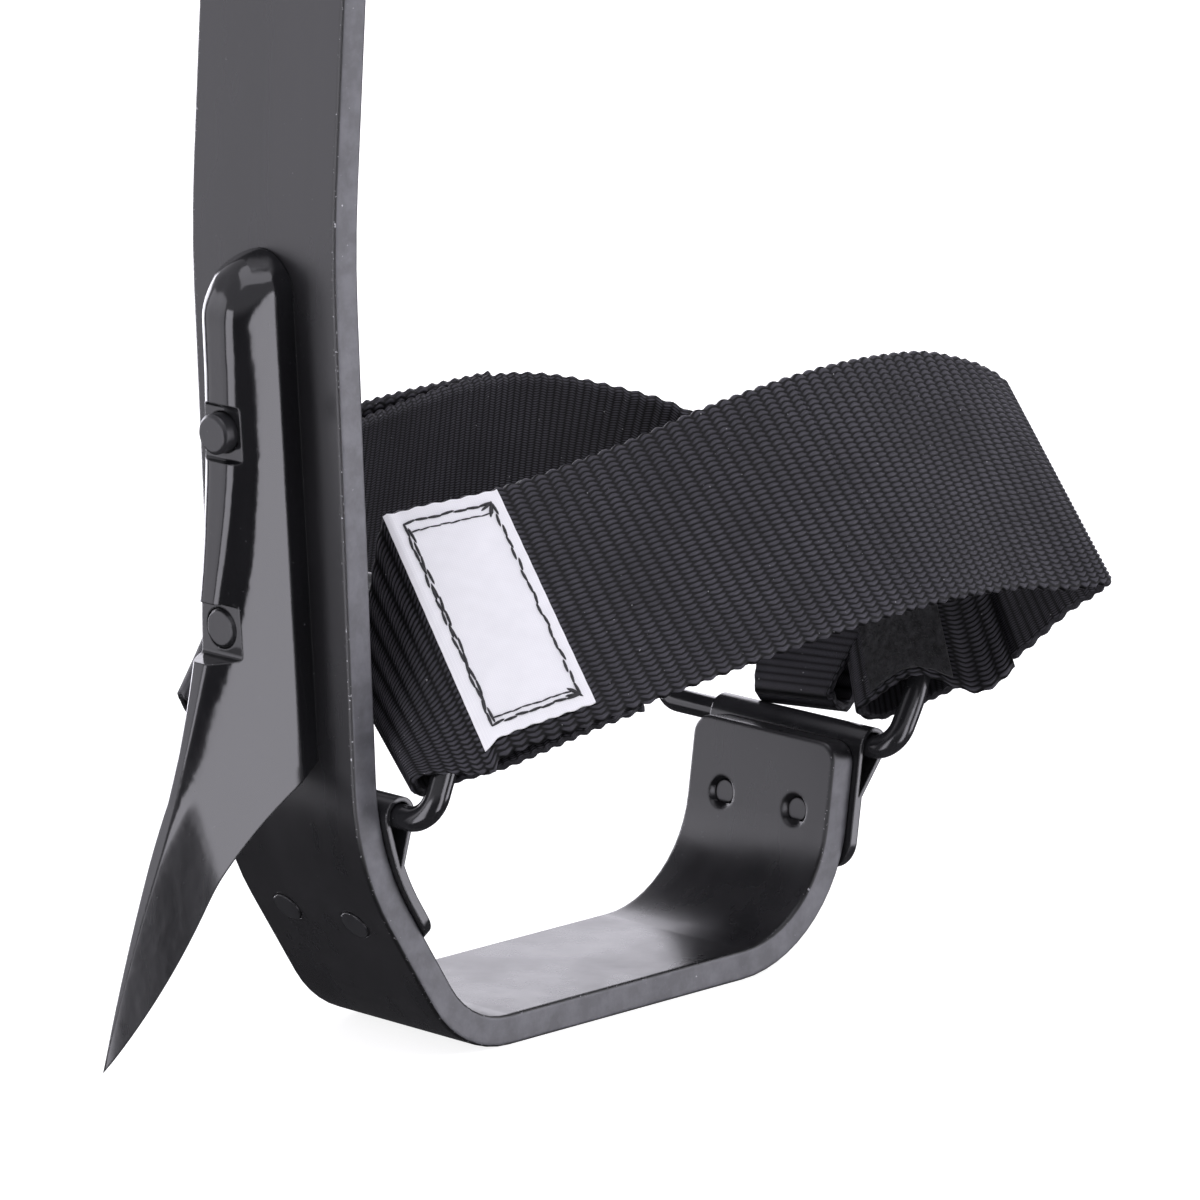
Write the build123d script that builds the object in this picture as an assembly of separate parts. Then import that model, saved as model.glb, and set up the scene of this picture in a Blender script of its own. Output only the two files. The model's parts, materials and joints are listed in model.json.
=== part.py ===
"""Tree climbing spike: one leg iron with its gaff, ring clips, D-rings and foot straps.

Frame: X runs across the stirrup (shank at -X, free upright at +X), Y across the bar,
Z up. The origin is the middle of the footplate's top face. Millimetres and degrees.
"""
import os
from math import atan2, cos, degrees, hypot, pi, radians, sin, sqrt, tan

from build123d import *

# Leg iron: one flat bar, bent into a stirrup below a long shank
BAR_WIDTH = 31.75
BAR_THICK = 5.0
BAR_EDGE_ROUND = 0.5
STIRRUP_SPAN = 79.8
RIGHT_BEND_RADIUS = 19.7
LEFT_BEND_RADIUS = 15.5
UPRIGHT_HEIGHT = 30.8
UPRIGHT_LEAN = 7.6
UPRIGHT_CORNER_ROUND = 3.5
SIDE_HEIGHT = 31.5
SIDE_LEAN = 33.2
KNEE_RADIUS = 43.6
ANKLE_HEIGHT = 127.8
LOWER_SHANK_LEAN = 3.1
ANKLE_RADIUS = 169.0
UPPER_SHANK_LEAN = 3.2
LEG_HEIGHT = 381.0
SHANK_TOP_ROUND = 7.0

# Gaff: forged spike on the shank's outer face, measured along and out from that face
CROTCH_HEIGHT = 46.3
GAFF_BACK_LENGTH = 80.3
GAFF_STANDOFF = 10.4
GAFF_LAND_START = 64.0
GAFF_SWEEP_RADIUS = 168.0
GAFF_KINK_DROP = 3.0
GAFF_TIP_DROP = 42.2
GAFF_TIP_OUT = 40.5
GAFF_BLADE_BULGE = 0.65
GAFF_HEEL_DROP = 20.2
GAFF_HEEL_OUT = 20.2
GAFF_BELLY_BULGE = 1.1
GAFF_CROTCH_SLOPE = 34.0
GAFF_FOOT_WIDTH = 8.2
GAFF_LAND_WIDTH = 6.2
GAFF_MIDDLE_WIDTH = 3.6
GAFF_WAIST_WIDTH = 2.85
GAFF_WAIST_FOOT_WIDTH = 7.9
GAFF_NECK_WIDTH = 2.1
GAFF_NECK_FOOT_WIDTH = 7.6
GAFF_BLADE_WIDTH = 4.2
GAFF_TOP_BEVEL = 3.0
GAFF_MIDDLE_BEVEL = 4.7
GAFF_NECK_BEVEL = 11.0
GAFF_BEVEL_SHARE = 0.93
GROUND_TIP_WIDTH = 0.3
GROUND_LAND_WIDTH = 3.0
GROUND_HEEL_WIDTH = 5.8
GROUND_TOP = 0.0
NOTCH_HEIGHT = 9.0

# Gaff screws: flat heads in the shank's inner face, ends showing in the gaff's notches
SCREW_DIAMETER = 6.35
SCREW_HEAD_DIAMETER = 12.2
SCREW_HEAD_HEIGHT = 3.0
SCREW_LENGTH = 17.1
SCREW_END_CHAMFER = 0.5
SCREW_PLACES = (22.5, 53.2)
NOTCH_FLOORS = (11.7, 8.8)

# Ring clips: folded sheet with an eye for the ring's bar, riveted to the bar
SHEET = 0.8
CLIP_WIDTH = 34.0
CLIP_CORNER_ROUND = 5.0
CLIP_EYE_TAPER = 8.5
INNER_EYE_HEIGHT = 37.4
INNER_CLIP_END_HEIGHT = 15.1
OUTER_EYE_HEIGHT = 29.8
OUTER_CLIP_LENGTH = 21.0
RIVET_DIAMETER = 4.0
RIVET_HEAD_DIAMETER = 6.4
RIVET_HEAD_HEIGHT = 1.7
INNER_RIVET_HEIGHT = 21.0
INNER_RIVET_SPACING = 15.2
INNER_RIVET_FLARE = 5.2
INNER_RIVET_PROUD = 0.3
OUTER_RIVET_HEIGHT = 18.0
OUTER_RIVET_SPACING = 16.4
OUTER_RIVET_MOUTH = 5.4
OUTER_RIVET_SUNK = 0.9
FLARE_DEPTH = 1.2

# D-rings of round wire, one in each clip
WIRE = 4.0
RING_HALF_LENGTH = 26.5
RING_CORNER_RADIUS = 4.5
RING_LEG = 7.5
INNER_RING_TILT = 22.0
INNER_RING_SLIP = 3.0
OUTER_RING_TILT = 30.0
OUTER_RING_SLIP = 5.0

# Webbing straps, folded round the rings: a fold has a skew on its ring, two ends along it and
# a distance from the middle of the ring's bar
WEBBING_WIDTH = 44.45
WEBBING_THICK = 1.8
FOLD_REACH = 31.0
FOLD_SPREAD = 1.0
INSTEP_INNER_FOLD = (37.0, -16.0, 7.0, 20.5)
INSTEP_OUTER_FOLD = (55.0, -6.5, 14.0, 20.5)
HEEL_INNER_FOLD = (75.0, 1.5, 22.0, 20.5)
HEEL_OUTER_FOLD = (28.0, -4.5, 10.5, 10.8)
STRAP_STEPS = 3
LABEL_LENGTH = 40.0
LABEL_WIDTH = 17.5
LABEL_THICK = 0.5
LABEL_PLACE = 60.0
PATCH_THICK = 1.0
PATCH_INSET = 1.5
PILE_PLACE = 12.0
PILE_LENGTH = 12.0
HOOK_PLACE = 1.0
HOOK_LENGTH = 6.0

# Places along the straps: share of the way between the rings' eyes, offset across, height over
# the line between the eyes, and direction across the webbing
INSTEP_INNER_TAIL = [
    (0.280, -28.0, 34.5, (0.18, 0.71, 0.68)),
    (0.215, -25.5, 32.0, (0.18, 0.71, 0.68)),
]
INSTEP_RUN = [
    (0.062, -19.0, 26.8, (-0.01, 0.53, 0.85)),
    (0.205, -27.0, 33.5, (0.18, 0.71, 0.68)),
    (0.405, -33.0, 40.0, (0.13, 0.74, 0.66)),
    (0.595, -37.5, 46.0, (0.06, 0.71, 0.71)),
    (0.805, -38.5, 49.5, (0.04, 0.66, 0.75)),
    (1.000, -36.0, 49.5, (0.08, 0.63, 0.77)),
    (1.107, -35.8, 48.0, (0.10, 0.65, 0.75)),
    (1.182, -35.3, 46.7, (0.18, 0.72, 0.67)),
    (1.225, -34.1, 45.1, (0.26, 0.76, 0.59)),
    (1.239, -30.5, 42.2, (0.29, 0.77, 0.57)),
    (1.224, -26.4, 37.2, (0.31, 0.76, 0.57)),
    (1.176, -22.2, 29.5, (0.34, 0.70, 0.63)),
]
INSTEP_OUTER_TAIL = [
    (1.114, -23.0, 24.6, (0.38, 0.64, 0.67)),
    (1.157, -25.2, 27.8, (0.35, 0.68, 0.64)),
]
HEEL_INNER_TAIL = [
    (0.760, 46.8, 33.2, (0.00, -0.12, 0.99)),
    (0.480, 46.8, 28.5, (0.05, -0.12, 0.99)),
    (0.230, 42.0, 23.0, (0.12, -0.15, 0.98)),
    (0.130, 35.5, 20.5, (0.25, -0.20, 0.95)),
]
HEEL_RUN = [
    (0.065, 35.0, 21.0, (0.10, -0.08, 0.99)),
    (0.205, 45.0, 24.5, (0.12, -0.15, 0.98)),
    (0.480, 49.5, 30.0, (0.05, -0.12, 0.99)),
    (0.780, 49.5, 33.5, (0.00, -0.12, 0.99)),
    (0.980, 40.5, 30.0, (0.05, -0.25, 0.97)),
    (1.060, 32.5, 26.0, (0.10, -0.45, 0.89)),
    (1.090, 24.0, 27.5, (0.16, -0.72, 0.67)),
]
HEEL_OUTER_TAIL = [
    (1.158, 20.8, 30.6, (0.20, -0.80, 0.55)),
    (1.118, 26.4, 30.6, (0.15, -0.68, 0.72)),
]

# Calf strap keeper and calf pad holes at the top of the shank
PAD_HOLE_DIAMETER = 6.6
PAD_HOLE_DROPS = (14.0, 112.0)
KEEPER_DROP = 63.0
KEEPER_WIDTH = 20.0
KEEPER_THICK = 2.0
KEEPER_PASSAGE = 40.0
KEEPER_DEPTH = 6.5
KEEPER_FOOT = 13.0
KEEPER_BEND_RADIUS = 2.5

# Clearances
FIT = 0.1
RUNNING_GAP = 0.3
CUT_MARGIN = 2.0


def unit(x, z):
    """Unit vector in the XZ plane."""
    length = hypot(x, z)
    return Vector(x / length, 0, z / length)


def upright(face, depth):
    """Stand an XZ outline up and give it a depth centred on Y = 0."""
    return extrude(Plane.XZ * face, depth / 2, both=True)


def spine(shift):
    """Corner points of the bar's inner line, moved outwards by shift, and their bend radii."""
    half = STIRRUP_SPAN / 2
    foot_right = Vector(half, 0)
    foot_left = Vector(-half, 0)
    top_right = foot_right + Vector(tan(radians(UPRIGHT_LEAN)), 1) * UPRIGHT_HEIGHT
    knee = foot_left + Vector(-tan(radians(SIDE_LEAN)), 1) * SIDE_HEIGHT
    ankle = knee + Vector(-tan(radians(LOWER_SHANK_LEAN)), 1) * (ANKLE_HEIGHT - SIDE_HEIGHT)
    top_left = ankle + Vector(tan(radians(UPPER_SHANK_LEAN)), 1) * (LEG_HEIGHT - ANKLE_HEIGHT)
    corners = [top_right, foot_right, foot_left, knee, ankle, top_left]
    runs = [(b - a).normalized() for a, b in zip(corners, corners[1:])]
    outward = [Vector(-run.Y, run.X) for run in runs]
    moved = [corners[0] + outward[0] * shift]
    for corner, before, after in zip(corners[1:-1], outward, outward[1:]):
        moved.append(corner + (before + after) * (shift / (1 + before.dot(after))))
    moved.append(corners[-1] + outward[-1] * shift)
    bends = [RIGHT_BEND_RADIUS, LEFT_BEND_RADIUS, KNEE_RADIUS, ANKLE_RADIUS]
    return moved, [bend + shift for bend in bends]


def band(near, far):
    """Outline between two lines that follow the bar, near and far from its inner line."""
    lines = []
    for shift in (near, far):
        corners, bends = spine(shift)
        lines.append(FilletPolyline(*corners, radius=bends))
    first, second = lines
    caps = [Line(first @ 0, second @ 0), Line(first @ 1, second @ 1)]
    return make_face(first.edges() + second.edges() + caps)


INNER_CORNERS = spine(0)[0]
OUTER_CORNERS = spine(BAR_THICK)[0]


def face_plane(corners, first, second, height):
    """Plane on one straight face of the bar: x points up along it, z out of the bar's outer side."""
    low, high = corners[first], corners[second]
    share = (height - low.Y) / (high.Y - low.Y)
    spot = low + (high - low) * share
    along = unit(high.X - low.X, high.Y - low.Y)
    return Plane(origin=(spot.X, 0, spot.Y), x_dir=along, z_dir=along.cross(Vector(0, 1, 0)))


def turned_in(plane):
    """The same plane facing the other way, with the same x direction."""
    return Plane(origin=plane.origin, x_dir=plane.x_dir, z_dir=plane.z_dir * -1)


def drill(plane, diameter, reach):
    """Round cutter or shank on a face plane, reaching the same way on both sides."""
    return plane * Cylinder(diameter / 2, 2 * reach)


def pair(place, spacing):
    """Two copies of a shape, side by side across the bar."""
    return [Location((0, side * spacing / 2, 0)) * place for side in (-1, 1)]


# Planes on the bar's faces where pieces are fixed
GAFF_FACE = face_plane(OUTER_CORNERS, 3, 4, CROTCH_HEIGHT)
GAFF_PLANE = Plane(origin=GAFF_FACE.origin, x_dir=GAFF_FACE.z_dir, z_dir=(0, 1, 0))
SHANK_UP = GAFF_FACE.x_dir
SHANK_OUT = GAFF_FACE.z_dir
SIDE_FACE = face_plane(INNER_CORNERS, 2, 3, INNER_RIVET_HEIGHT)
UPRIGHT_FACE = turned_in(face_plane(OUTER_CORNERS, 1, 0, OUTER_RIVET_HEIGHT))
TOP_FACE = face_plane(OUTER_CORNERS, 4, 5, OUTER_CORNERS[5].Y)


def shank_face(place):
    """Plane on the lower shank's outer face, a distance above the gaff's crotch."""
    return Plane(origin=GAFF_FACE.origin + SHANK_UP * place, x_dir=SHANK_UP, z_dir=SHANK_OUT)


def top_face(drop):
    """Plane on the upper shank's outer face, a distance below its top end."""
    return Plane(origin=TOP_FACE.origin - TOP_FACE.x_dir * drop, x_dir=TOP_FACE.x_dir, z_dir=TOP_FACE.z_dir)


def screw_blank(plane, grow):
    """Flat-head screw from the shank's inner face, grown all over for its hole."""
    radius = SCREW_DIAMETER / 2 + grow
    head = SCREW_HEAD_DIAMETER / 2 + grow
    bottom = -BAR_THICK
    outline = Polyline(
        (0, bottom),
        (head, bottom),
        (radius, bottom + SCREW_HEAD_HEIGHT + grow),
        (radius, bottom + SCREW_LENGTH),
        (0, bottom + SCREW_LENGTH),
        close=True,
    )
    return plane * revolve(Plane.XZ * make_face(outline), Axis.Z)


def end_corners(bar):
    """Square corners across the bar's thickness, at its two ends."""
    straight = bar.edges().filter_by(GeomType.LINE)
    return straight.filter_by(lambda edge: abs(edge.length - BAR_THICK) < BAR_THICK / 100)


def make_leg_iron():
    """Bent bar with rounded ends, drilled for the screws, rivets and calf pad."""
    bar = upright(band(0, BAR_THICK), BAR_WIDTH)
    bar = fillet(end_corners(bar).filter_by(lambda edge: edge.center().X > 0), UPRIGHT_CORNER_ROUND)
    bar = fillet(end_corners(bar).filter_by(lambda edge: edge.center().X < 0), SHANK_TOP_ROUND)
    rim = bar.faces().sort_by(Axis.Y)
    bar = fillet(rim[0].edges() + rim[-1].edges(), BAR_EDGE_ROUND)
    for place in SCREW_PLACES:
        bar -= screw_blank(shank_face(place), FIT)
    for hole in pair(inner_rivet(FIT), INNER_RIVET_SPACING) + pair(outer_rivet(FIT), OUTER_RIVET_SPACING):
        bar -= hole
    for drop in PAD_HOLE_DROPS:
        bar -= drill(top_face(drop), PAD_HOLE_DIAMETER, BAR_THICK * 2)
    for plane in keeper_rivet_planes():
        bar -= drill(plane, RIVET_DIAMETER + 2 * FIT, BAR_THICK * 2)
    return bar


def land_out(place):
    """Distance of the gaff's land from the shank's face, at a place along it."""
    below = max(GAFF_LAND_START - place, 0)
    return GAFF_STANDOFF + below * below / (2 * GAFF_SWEEP_RADIUS)


def bulged(start, end, bulge):
    """Middle point of a shallow arc from start to end, standing off its chord to the left."""
    chord = end - start
    return (start + end) / 2 + Vector(-chord.Y, chord.X).normalized() * bulge


def gaff_side():
    """Side outline of the gaff: x out from the shank's face, y along it from the crotch."""
    crotch = Vector(0, 0)
    nose = Vector(0, GAFF_BACK_LENGTH)
    shoulder = Vector(GAFF_STANDOFF, GAFF_BACK_LENGTH - GAFF_STANDOFF)
    land = Vector(GAFF_STANDOFF, GAFF_LAND_START)
    kink = Vector(land_out(-GAFF_KINK_DROP), -GAFF_KINK_DROP)
    middle = (GAFF_LAND_START - GAFF_KINK_DROP) / 2
    tip = Vector(GAFF_TIP_OUT, -GAFF_TIP_DROP)
    heel = Vector(GAFF_HEEL_OUT, -GAFF_HEEL_DROP)
    crotch_run = Vector(cos(radians(GAFF_CROTCH_SLOPE)), -sin(radians(GAFF_CROTCH_SLOPE)))
    outline = [
        Line(crotch, nose),
        RadiusArc(nose, shoulder, GAFF_STANDOFF),
        Line(shoulder, land),
        ThreePointArc(land, Vector(land_out(middle), middle), kink),
        ThreePointArc(kink, bulged(kink, tip, GAFF_BLADE_BULGE), tip),
        ThreePointArc(tip, bulged(tip, heel, GAFF_BELLY_BULGE), heel),
        TangentArc(crotch, heel, tangent=crotch_run),
    ]
    return make_face(outline)


def forged_section(place, land_width, foot_width, bevel):
    """Section across the forged flanks: a narrow land, a bevel each side of it, and steep sides."""
    outer = land_out(place)
    land, foot = land_width / 2, foot_width / 2
    half = [
        (outer + CUT_MARGIN, land),
        (outer, land),
        (outer - bevel, foot * GAFF_BEVEL_SHARE),
        (-CUT_MARGIN, foot),
    ]
    near = [(out, place, -width) for out, width in half]
    far = [(out, place, width) for out, width in reversed(half)]
    return Wire(Polyline(*near, *far, close=True).edges())


def ground_cutter(side):
    """Waste outside one ground flank of the blade, below the forged neck."""
    tip = Vector(GAFF_TIP_OUT, -GAFF_TIP_DROP, side * GROUND_TIP_WIDTH / 2)
    land = Vector(land_out(-GAFF_KINK_DROP), -GAFF_KINK_DROP, side * GROUND_LAND_WIDTH / 2)
    heel = Vector(GAFF_HEEL_OUT, -GAFF_HEEL_DROP, side * GROUND_HEEL_WIDTH / 2)
    normal = (land - tip).cross(heel - tip).normalized()
    if normal.Z * side < 0:
        normal = normal * -1
    reach = GAFF_BACK_LENGTH
    waste = Plane(origin=tip, z_dir=normal) * Box(
        4 * reach, 4 * reach, reach, align=(Align.CENTER, Align.CENTER, Align.MIN)
    )
    below = Pos(0, GROUND_TOP - reach, 0) * Box(4 * reach, 2 * reach, 4 * reach)
    return waste & below


def make_gaff():
    """Forged gaff with a tapering land, bevelled flanks, a ground blade and two spot-faced notches."""
    sections = [
        forged_section(GAFF_BACK_LENGTH + CUT_MARGIN, GAFF_LAND_WIDTH, GAFF_FOOT_WIDTH, GAFF_TOP_BEVEL),
        forged_section(GAFF_LAND_START, GAFF_LAND_WIDTH, GAFF_FOOT_WIDTH, GAFF_TOP_BEVEL),
        forged_section(GAFF_LAND_START / 2, GAFF_MIDDLE_WIDTH, GAFF_FOOT_WIDTH, GAFF_MIDDLE_BEVEL),
        forged_section(GAFF_LAND_START / 4, GAFF_WAIST_WIDTH, GAFF_WAIST_FOOT_WIDTH, GAFF_MIDDLE_BEVEL),
        forged_section(0, GAFF_NECK_WIDTH, GAFF_NECK_FOOT_WIDTH, GAFF_NECK_BEVEL),
        forged_section(-GAFF_TIP_DROP - CUT_MARGIN, GAFF_BLADE_WIDTH, GAFF_NECK_FOOT_WIDTH, GAFF_NECK_BEVEL),
    ]
    gaff = Solid.make_loft(sections) & extrude(gaff_side(), GAFF_FOOT_WIDTH, both=True)
    round_nose = GAFF_FOOT_WIDTH / 2
    reach = GAFF_BACK_LENGTH + GAFF_TIP_OUT
    plan = Rectangle(reach, GAFF_FOOT_WIDTH, align=(Align.MAX, Align.CENTER)) + Circle(round_nose)
    plan = Plane(origin=(0, GAFF_BACK_LENGTH - round_nose, 0), x_dir=(0, 1, 0), z_dir=(1, 0, 0)) * plan
    gaff &= extrude(plan, reach, both=True)
    for side in (-1, 1):
        gaff -= ground_cutter(side)
    for place, floor in zip(SCREW_PLACES, NOTCH_FLOORS):
        cutter = Box(reach, NOTCH_HEIGHT, 2 * GAFF_FOOT_WIDTH, align=(Align.MIN, Align.CENTER, Align.CENTER))
        gaff -= Pos(floor, place, 0) * cutter
    gaff = GAFF_PLANE * gaff
    for place in SCREW_PLACES:
        gaff -= drill(shank_face(place), SCREW_DIAMETER + 2 * FIT, SCREW_LENGTH * 2)
    return gaff


def make_gaff_screws():
    """Two flat-head screws through the shank and the gaff."""
    screws = []
    for place in SCREW_PLACES:
        screw = screw_blank(shank_face(place), 0)
        end = screw.edges().filter_by(GeomType.CIRCLE).sort_by(Axis.X)[0]
        screws.append(chamfer(end, SCREW_END_CHAMFER))
    return Compound(children=screws)


def rivet_blank(plane, grow, head_base, tail, mouth):
    """Rivet on a plane: domed head out along +z from head_base, shank down to tail, flared mouth."""
    radius = RIVET_DIAMETER / 2 + grow
    dome = RIVET_HEAD_DIAMETER / 2
    shape = Pos(0, 0, (head_base + tail) / 2) * Cylinder(radius, head_base - tail)
    if mouth:
        flare = mouth / 2 + grow
        cone = Cone(flare, radius, FLARE_DEPTH, align=(Align.CENTER, Align.CENTER, Align.MIN))
        shape += Pos(0, 0, -BAR_THICK) * cone
        proud = -BAR_THICK - tail
        if proud > 0:
            disc = Cylinder(flare, proud, align=(Align.CENTER, Align.CENTER, Align.MIN))
            shape += Pos(0, 0, tail) * disc
    if grow == 0:
        ball = (dome * dome + RIVET_HEAD_HEIGHT * RIVET_HEAD_HEIGHT) / (2 * RIVET_HEAD_HEIGHT)
        cap = Pos(0, 0, RIVET_HEAD_HEIGHT - ball) * Sphere(ball)
        cap &= Cylinder(2 * ball, 2 * ball, align=(Align.CENTER, Align.CENTER, Align.MIN))
        shape += Pos(0, 0, head_base) * cap
    return plane * shape


def inner_rivet(grow):
    """Rivet of the inner clip: head on the clip, flush flared end on the bar's outer face."""
    return rivet_blank(
        turned_in(SIDE_FACE), grow, 2 * SHEET + FIT, -BAR_THICK - INNER_RIVET_PROUD, INNER_RIVET_FLARE
    )


def outer_rivet(grow):
    """Rivet of the outer clip: head on the clip, end sunk in a flared mouth on the inner face."""
    tail = -BAR_THICK + OUTER_RIVET_SUNK
    if grow == 0:
        return rivet_blank(UPRIGHT_FACE, 0, 2 * SHEET, tail, 0)
    return rivet_blank(UPRIGHT_FACE, grow, 2 * SHEET, -BAR_THICK, OUTER_RIVET_MOUTH)


EYE_RADIUS = WIRE / 2 + RUNNING_GAP
EYE_OUT = EYE_RADIUS + SHEET


def inner_eye():
    """Centre of the inner clip's eye in the XZ plane, standing off the knee's inner face."""
    centre = spine(-KNEE_RADIUS)[0][3]
    rise = INNER_EYE_HEIGHT - centre.Y
    reach = KNEE_RADIUS - EYE_OUT
    return Vector(centre.X - sqrt(reach * reach - rise * rise), INNER_EYE_HEIGHT)


def outer_eye():
    """Centre of the outer clip's eye in the XZ plane, standing off the upright's outer face."""
    plane = face_plane(OUTER_CORNERS, 1, 0, OUTER_EYE_HEIGHT)
    spot = plane.origin - plane.z_dir * EYE_OUT
    return Vector(spot.X, spot.Z)


def tangent_point(point, centre, radius, side):
    """Where a line from a point touches a circle, on its left (+1) or right (-1)."""
    gap = centre - point
    angle = atan2(gap.Y, gap.X) + side * (pi / 2 - atan2(sqrt(gap.length ** 2 - radius ** 2), radius))
    reach = sqrt(gap.length ** 2 - radius ** 2)
    return point + Vector(cos(angle), sin(angle)) * reach


def clip_outline(tail, bar, eye, close, middle, side):
    """Folded clip in outline: doubled tail, teardrop eye, and the gap between its two layers.

    close is where the second layer meets the first, on the tail's free face, and middle the
    same place between the layers. side is the free face's side as seen from close to the eye.
    """
    free = tangent_point(close, eye, EYE_OUT, side)
    wedge = make_face(Polyline(close, free, eye, middle, close=True))
    back = tangent_point(middle, eye, EYE_RADIUS, -side)
    front = tangent_point(middle, eye, EYE_RADIUS, side)
    gap = make_face(Polyline(middle, front, eye, back, close=True))
    ring = Pos(eye.X, eye.Y) * Circle(EYE_OUT)
    bore = Pos(eye.X, eye.Y) * Circle(EYE_RADIUS)
    return tail + ring + wedge - bar - gap - bore


def round_clip_end(clip):
    """Round the two free corners at a clip's lower end."""
    corners = clip.edges().filter_by(lambda edge: abs(edge.length - 2 * SHEET) < SHEET / 20)
    corners = corners.filter_by(lambda edge: abs(abs(edge.center().Y) - CLIP_WIDTH / 2) < SHEET / 20)
    corners = corners.sort_by(Axis.Z)[0:2]
    return fillet(corners, CLIP_CORNER_ROUND)


def make_inner_clip():
    """Clip on the inner face of the stirrup's sloped side, following the knee up to its eye."""
    eye = inner_eye()
    centre = spine(-KNEE_RADIUS)[0][3]
    bar = band(0, BAR_THICK)
    end = face_plane(INNER_CORNERS, 2, 3, INNER_CLIP_END_HEIGHT)
    start = Vector(end.origin.X, end.origin.Z)
    inward = Vector(-end.z_dir.X, -end.z_dir.Z)
    far = eye + (eye - centre).normalized() * CLIP_WIDTH
    window = make_face(Polyline(
        start - inward * CLIP_WIDTH,
        start + inward * EYE_OUT,
        eye,
        far,
        close=True,
    ))
    tail = band(-2 * SHEET, 0) & window
    turn = CLIP_EYE_TAPER / KNEE_RADIUS
    spoke = (eye - centre).normalized().rotate(Axis.Z, degrees(turn))
    close = centre + spoke * (KNEE_RADIUS - 2 * SHEET)
    middle = centre + spoke * (KNEE_RADIUS - SHEET)
    clip = upright(clip_outline(tail, bar, eye, close, middle, -1), CLIP_WIDTH)
    clip = round_clip_end(clip)
    for hole in pair(drill(SIDE_FACE, RIVET_DIAMETER + 2 * FIT, BAR_THICK), INNER_RIVET_SPACING):
        clip -= hole
    return clip


def make_outer_clip():
    """Clip on the outer face of the free upright, straight down past the bend."""
    eye = outer_eye()
    plane = face_plane(OUTER_CORNERS, 1, 0, OUTER_EYE_HEIGHT)
    top = Vector(plane.origin.X, plane.origin.Z)
    down = Vector(plane.x_dir.X, plane.x_dir.Z) * -1
    out = (eye - top).normalized()
    low = top + down * OUTER_CLIP_LENGTH
    tail = make_face(Polyline(top, top + out * 2 * SHEET, low + out * 2 * SHEET, low, close=True))
    close = top + down * CLIP_EYE_TAPER + out * 2 * SHEET
    middle = top + down * CLIP_EYE_TAPER + out * SHEET
    clip = upright(clip_outline(tail, band(0, BAR_THICK), eye, close, middle, -1), CLIP_WIDTH)
    clip = round_clip_end(clip)
    for hole in pair(drill(UPRIGHT_FACE, RIVET_DIAMETER + 2 * FIT, BAR_THICK), OUTER_RIVET_SPACING):
        clip -= hole
    return clip


def ring_frame(eye, tilt, slip):
    """Frame of a D-ring: origin in its eye, y along its bar, d up its plane, m out of its plane."""
    lean = radians(tilt)
    rise = Vector(sin(lean), 0, cos(lean))
    return Plane(origin=(eye.X, slip, eye.Y), x_dir=(0, 1, 0), z_dir=Vector(0, 1, 0).cross(rise))


INNER_RING = ring_frame(inner_eye(), INNER_RING_TILT, INNER_RING_SLIP)
OUTER_RING = ring_frame(outer_eye(), OUTER_RING_TILT, OUTER_RING_SLIP)


def make_ring(frame):
    """D-ring: straight bar, two tight corners, short legs and a half-round bow."""
    half, corner, leg = RING_HALF_LENGTH, RING_CORNER_RADIUS, RING_LEG
    low_left = Vector(-half, corner)
    low_right = Vector(half, corner)
    path = Wire([
        Line((0, 0), (half - corner, 0)),
        RadiusArc((half - corner, 0), low_right, -corner),
        Line(low_right, (half, leg)),
        RadiusArc((half, leg), (-half, leg), -half),
        Line((-half, leg), low_left),
        RadiusArc(low_left, (corner - half, 0), -corner),
        Line((corner - half, 0), (0, 0)),
    ])
    ring = sweep(Plane.YZ * Circle(WIRE / 2), path=path)
    return frame * ring


def fold_stations(frame, hand, fold, tail_side):
    """Stations of a strap's fold round a ring's wire, from the tail's leg to the run's leg.

    hand is -1 on the near (-Y) half of the bow and +1 on the far half. Each station is a centre,
    the direction across the webbing from its lower to its upper edge, and a width: the webbing is
    drawn together on the wire and opens out along its legs.
    """
    skew, foot, head, inset = fold
    across = Vector(-hand * cos(radians(skew)), sin(radians(skew)))
    out = Vector(hand * sin(radians(skew)), cos(radians(skew)))
    edge = frame.from_local_coords(across) - frame.origin
    turn = WIRE / 2 + RUNNING_GAP + WEBBING_THICK / 2
    leg = (FOLD_REACH, turn + FOLD_SPREAD, (head - foot + WEBBING_WIDTH) / 2)
    axis = (inset, turn, head - foot)
    route = [(place, tail_side * lift, width) for place, lift, width in (leg, axis)]
    for step in (45, 90, 135):
        angle = radians(step)
        route.append((inset - turn * sin(angle), tail_side * turn * cos(angle), head - foot))
    route += [(place, -tail_side * lift, width) for place, lift, width in (axis, leg)]
    stations = []
    for place, lift, width in route:
        spot = across * ((foot + head) / 2) + out * place
        stations.append((frame.from_local_coords(Vector(spot.X, spot.Y, lift)), edge, width))
    return stations


def place_stations(places):
    """Stations at places along a strap, given between the two rings' eyes."""
    start, end = inner_eye(), outer_eye()
    stations = []
    for share, offset, height, edge in places:
        level = start * (1 - share) + end * share
        centre = Vector(level.X, offset, level.Y + height)
        stations.append((centre, Vector(*edge).normalized(), WEBBING_WIDTH))
    return stations


def smoothed(stations, steps):
    """Stations with Catmull-Rom steps between them."""
    def blend(before, here, there, after, share):
        cubic = (here * 3 - before - there * 3 + after) * share ** 3
        square = (before * 2 - here * 5 + there * 4 - after) * share ** 2
        return (here * 2 + (there - before) * share + square + cubic) * 0.5

    padded = [stations[0]] + stations + [stations[-1]]
    finer = []
    for group in zip(padded, padded[1:], padded[2:], padded[3:]):
        for step in range(steps):
            share = step / steps
            finer.append(tuple(blend(*values, share) for values in zip(*group)))
    finer.append(stations[-1])
    return finer


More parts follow.
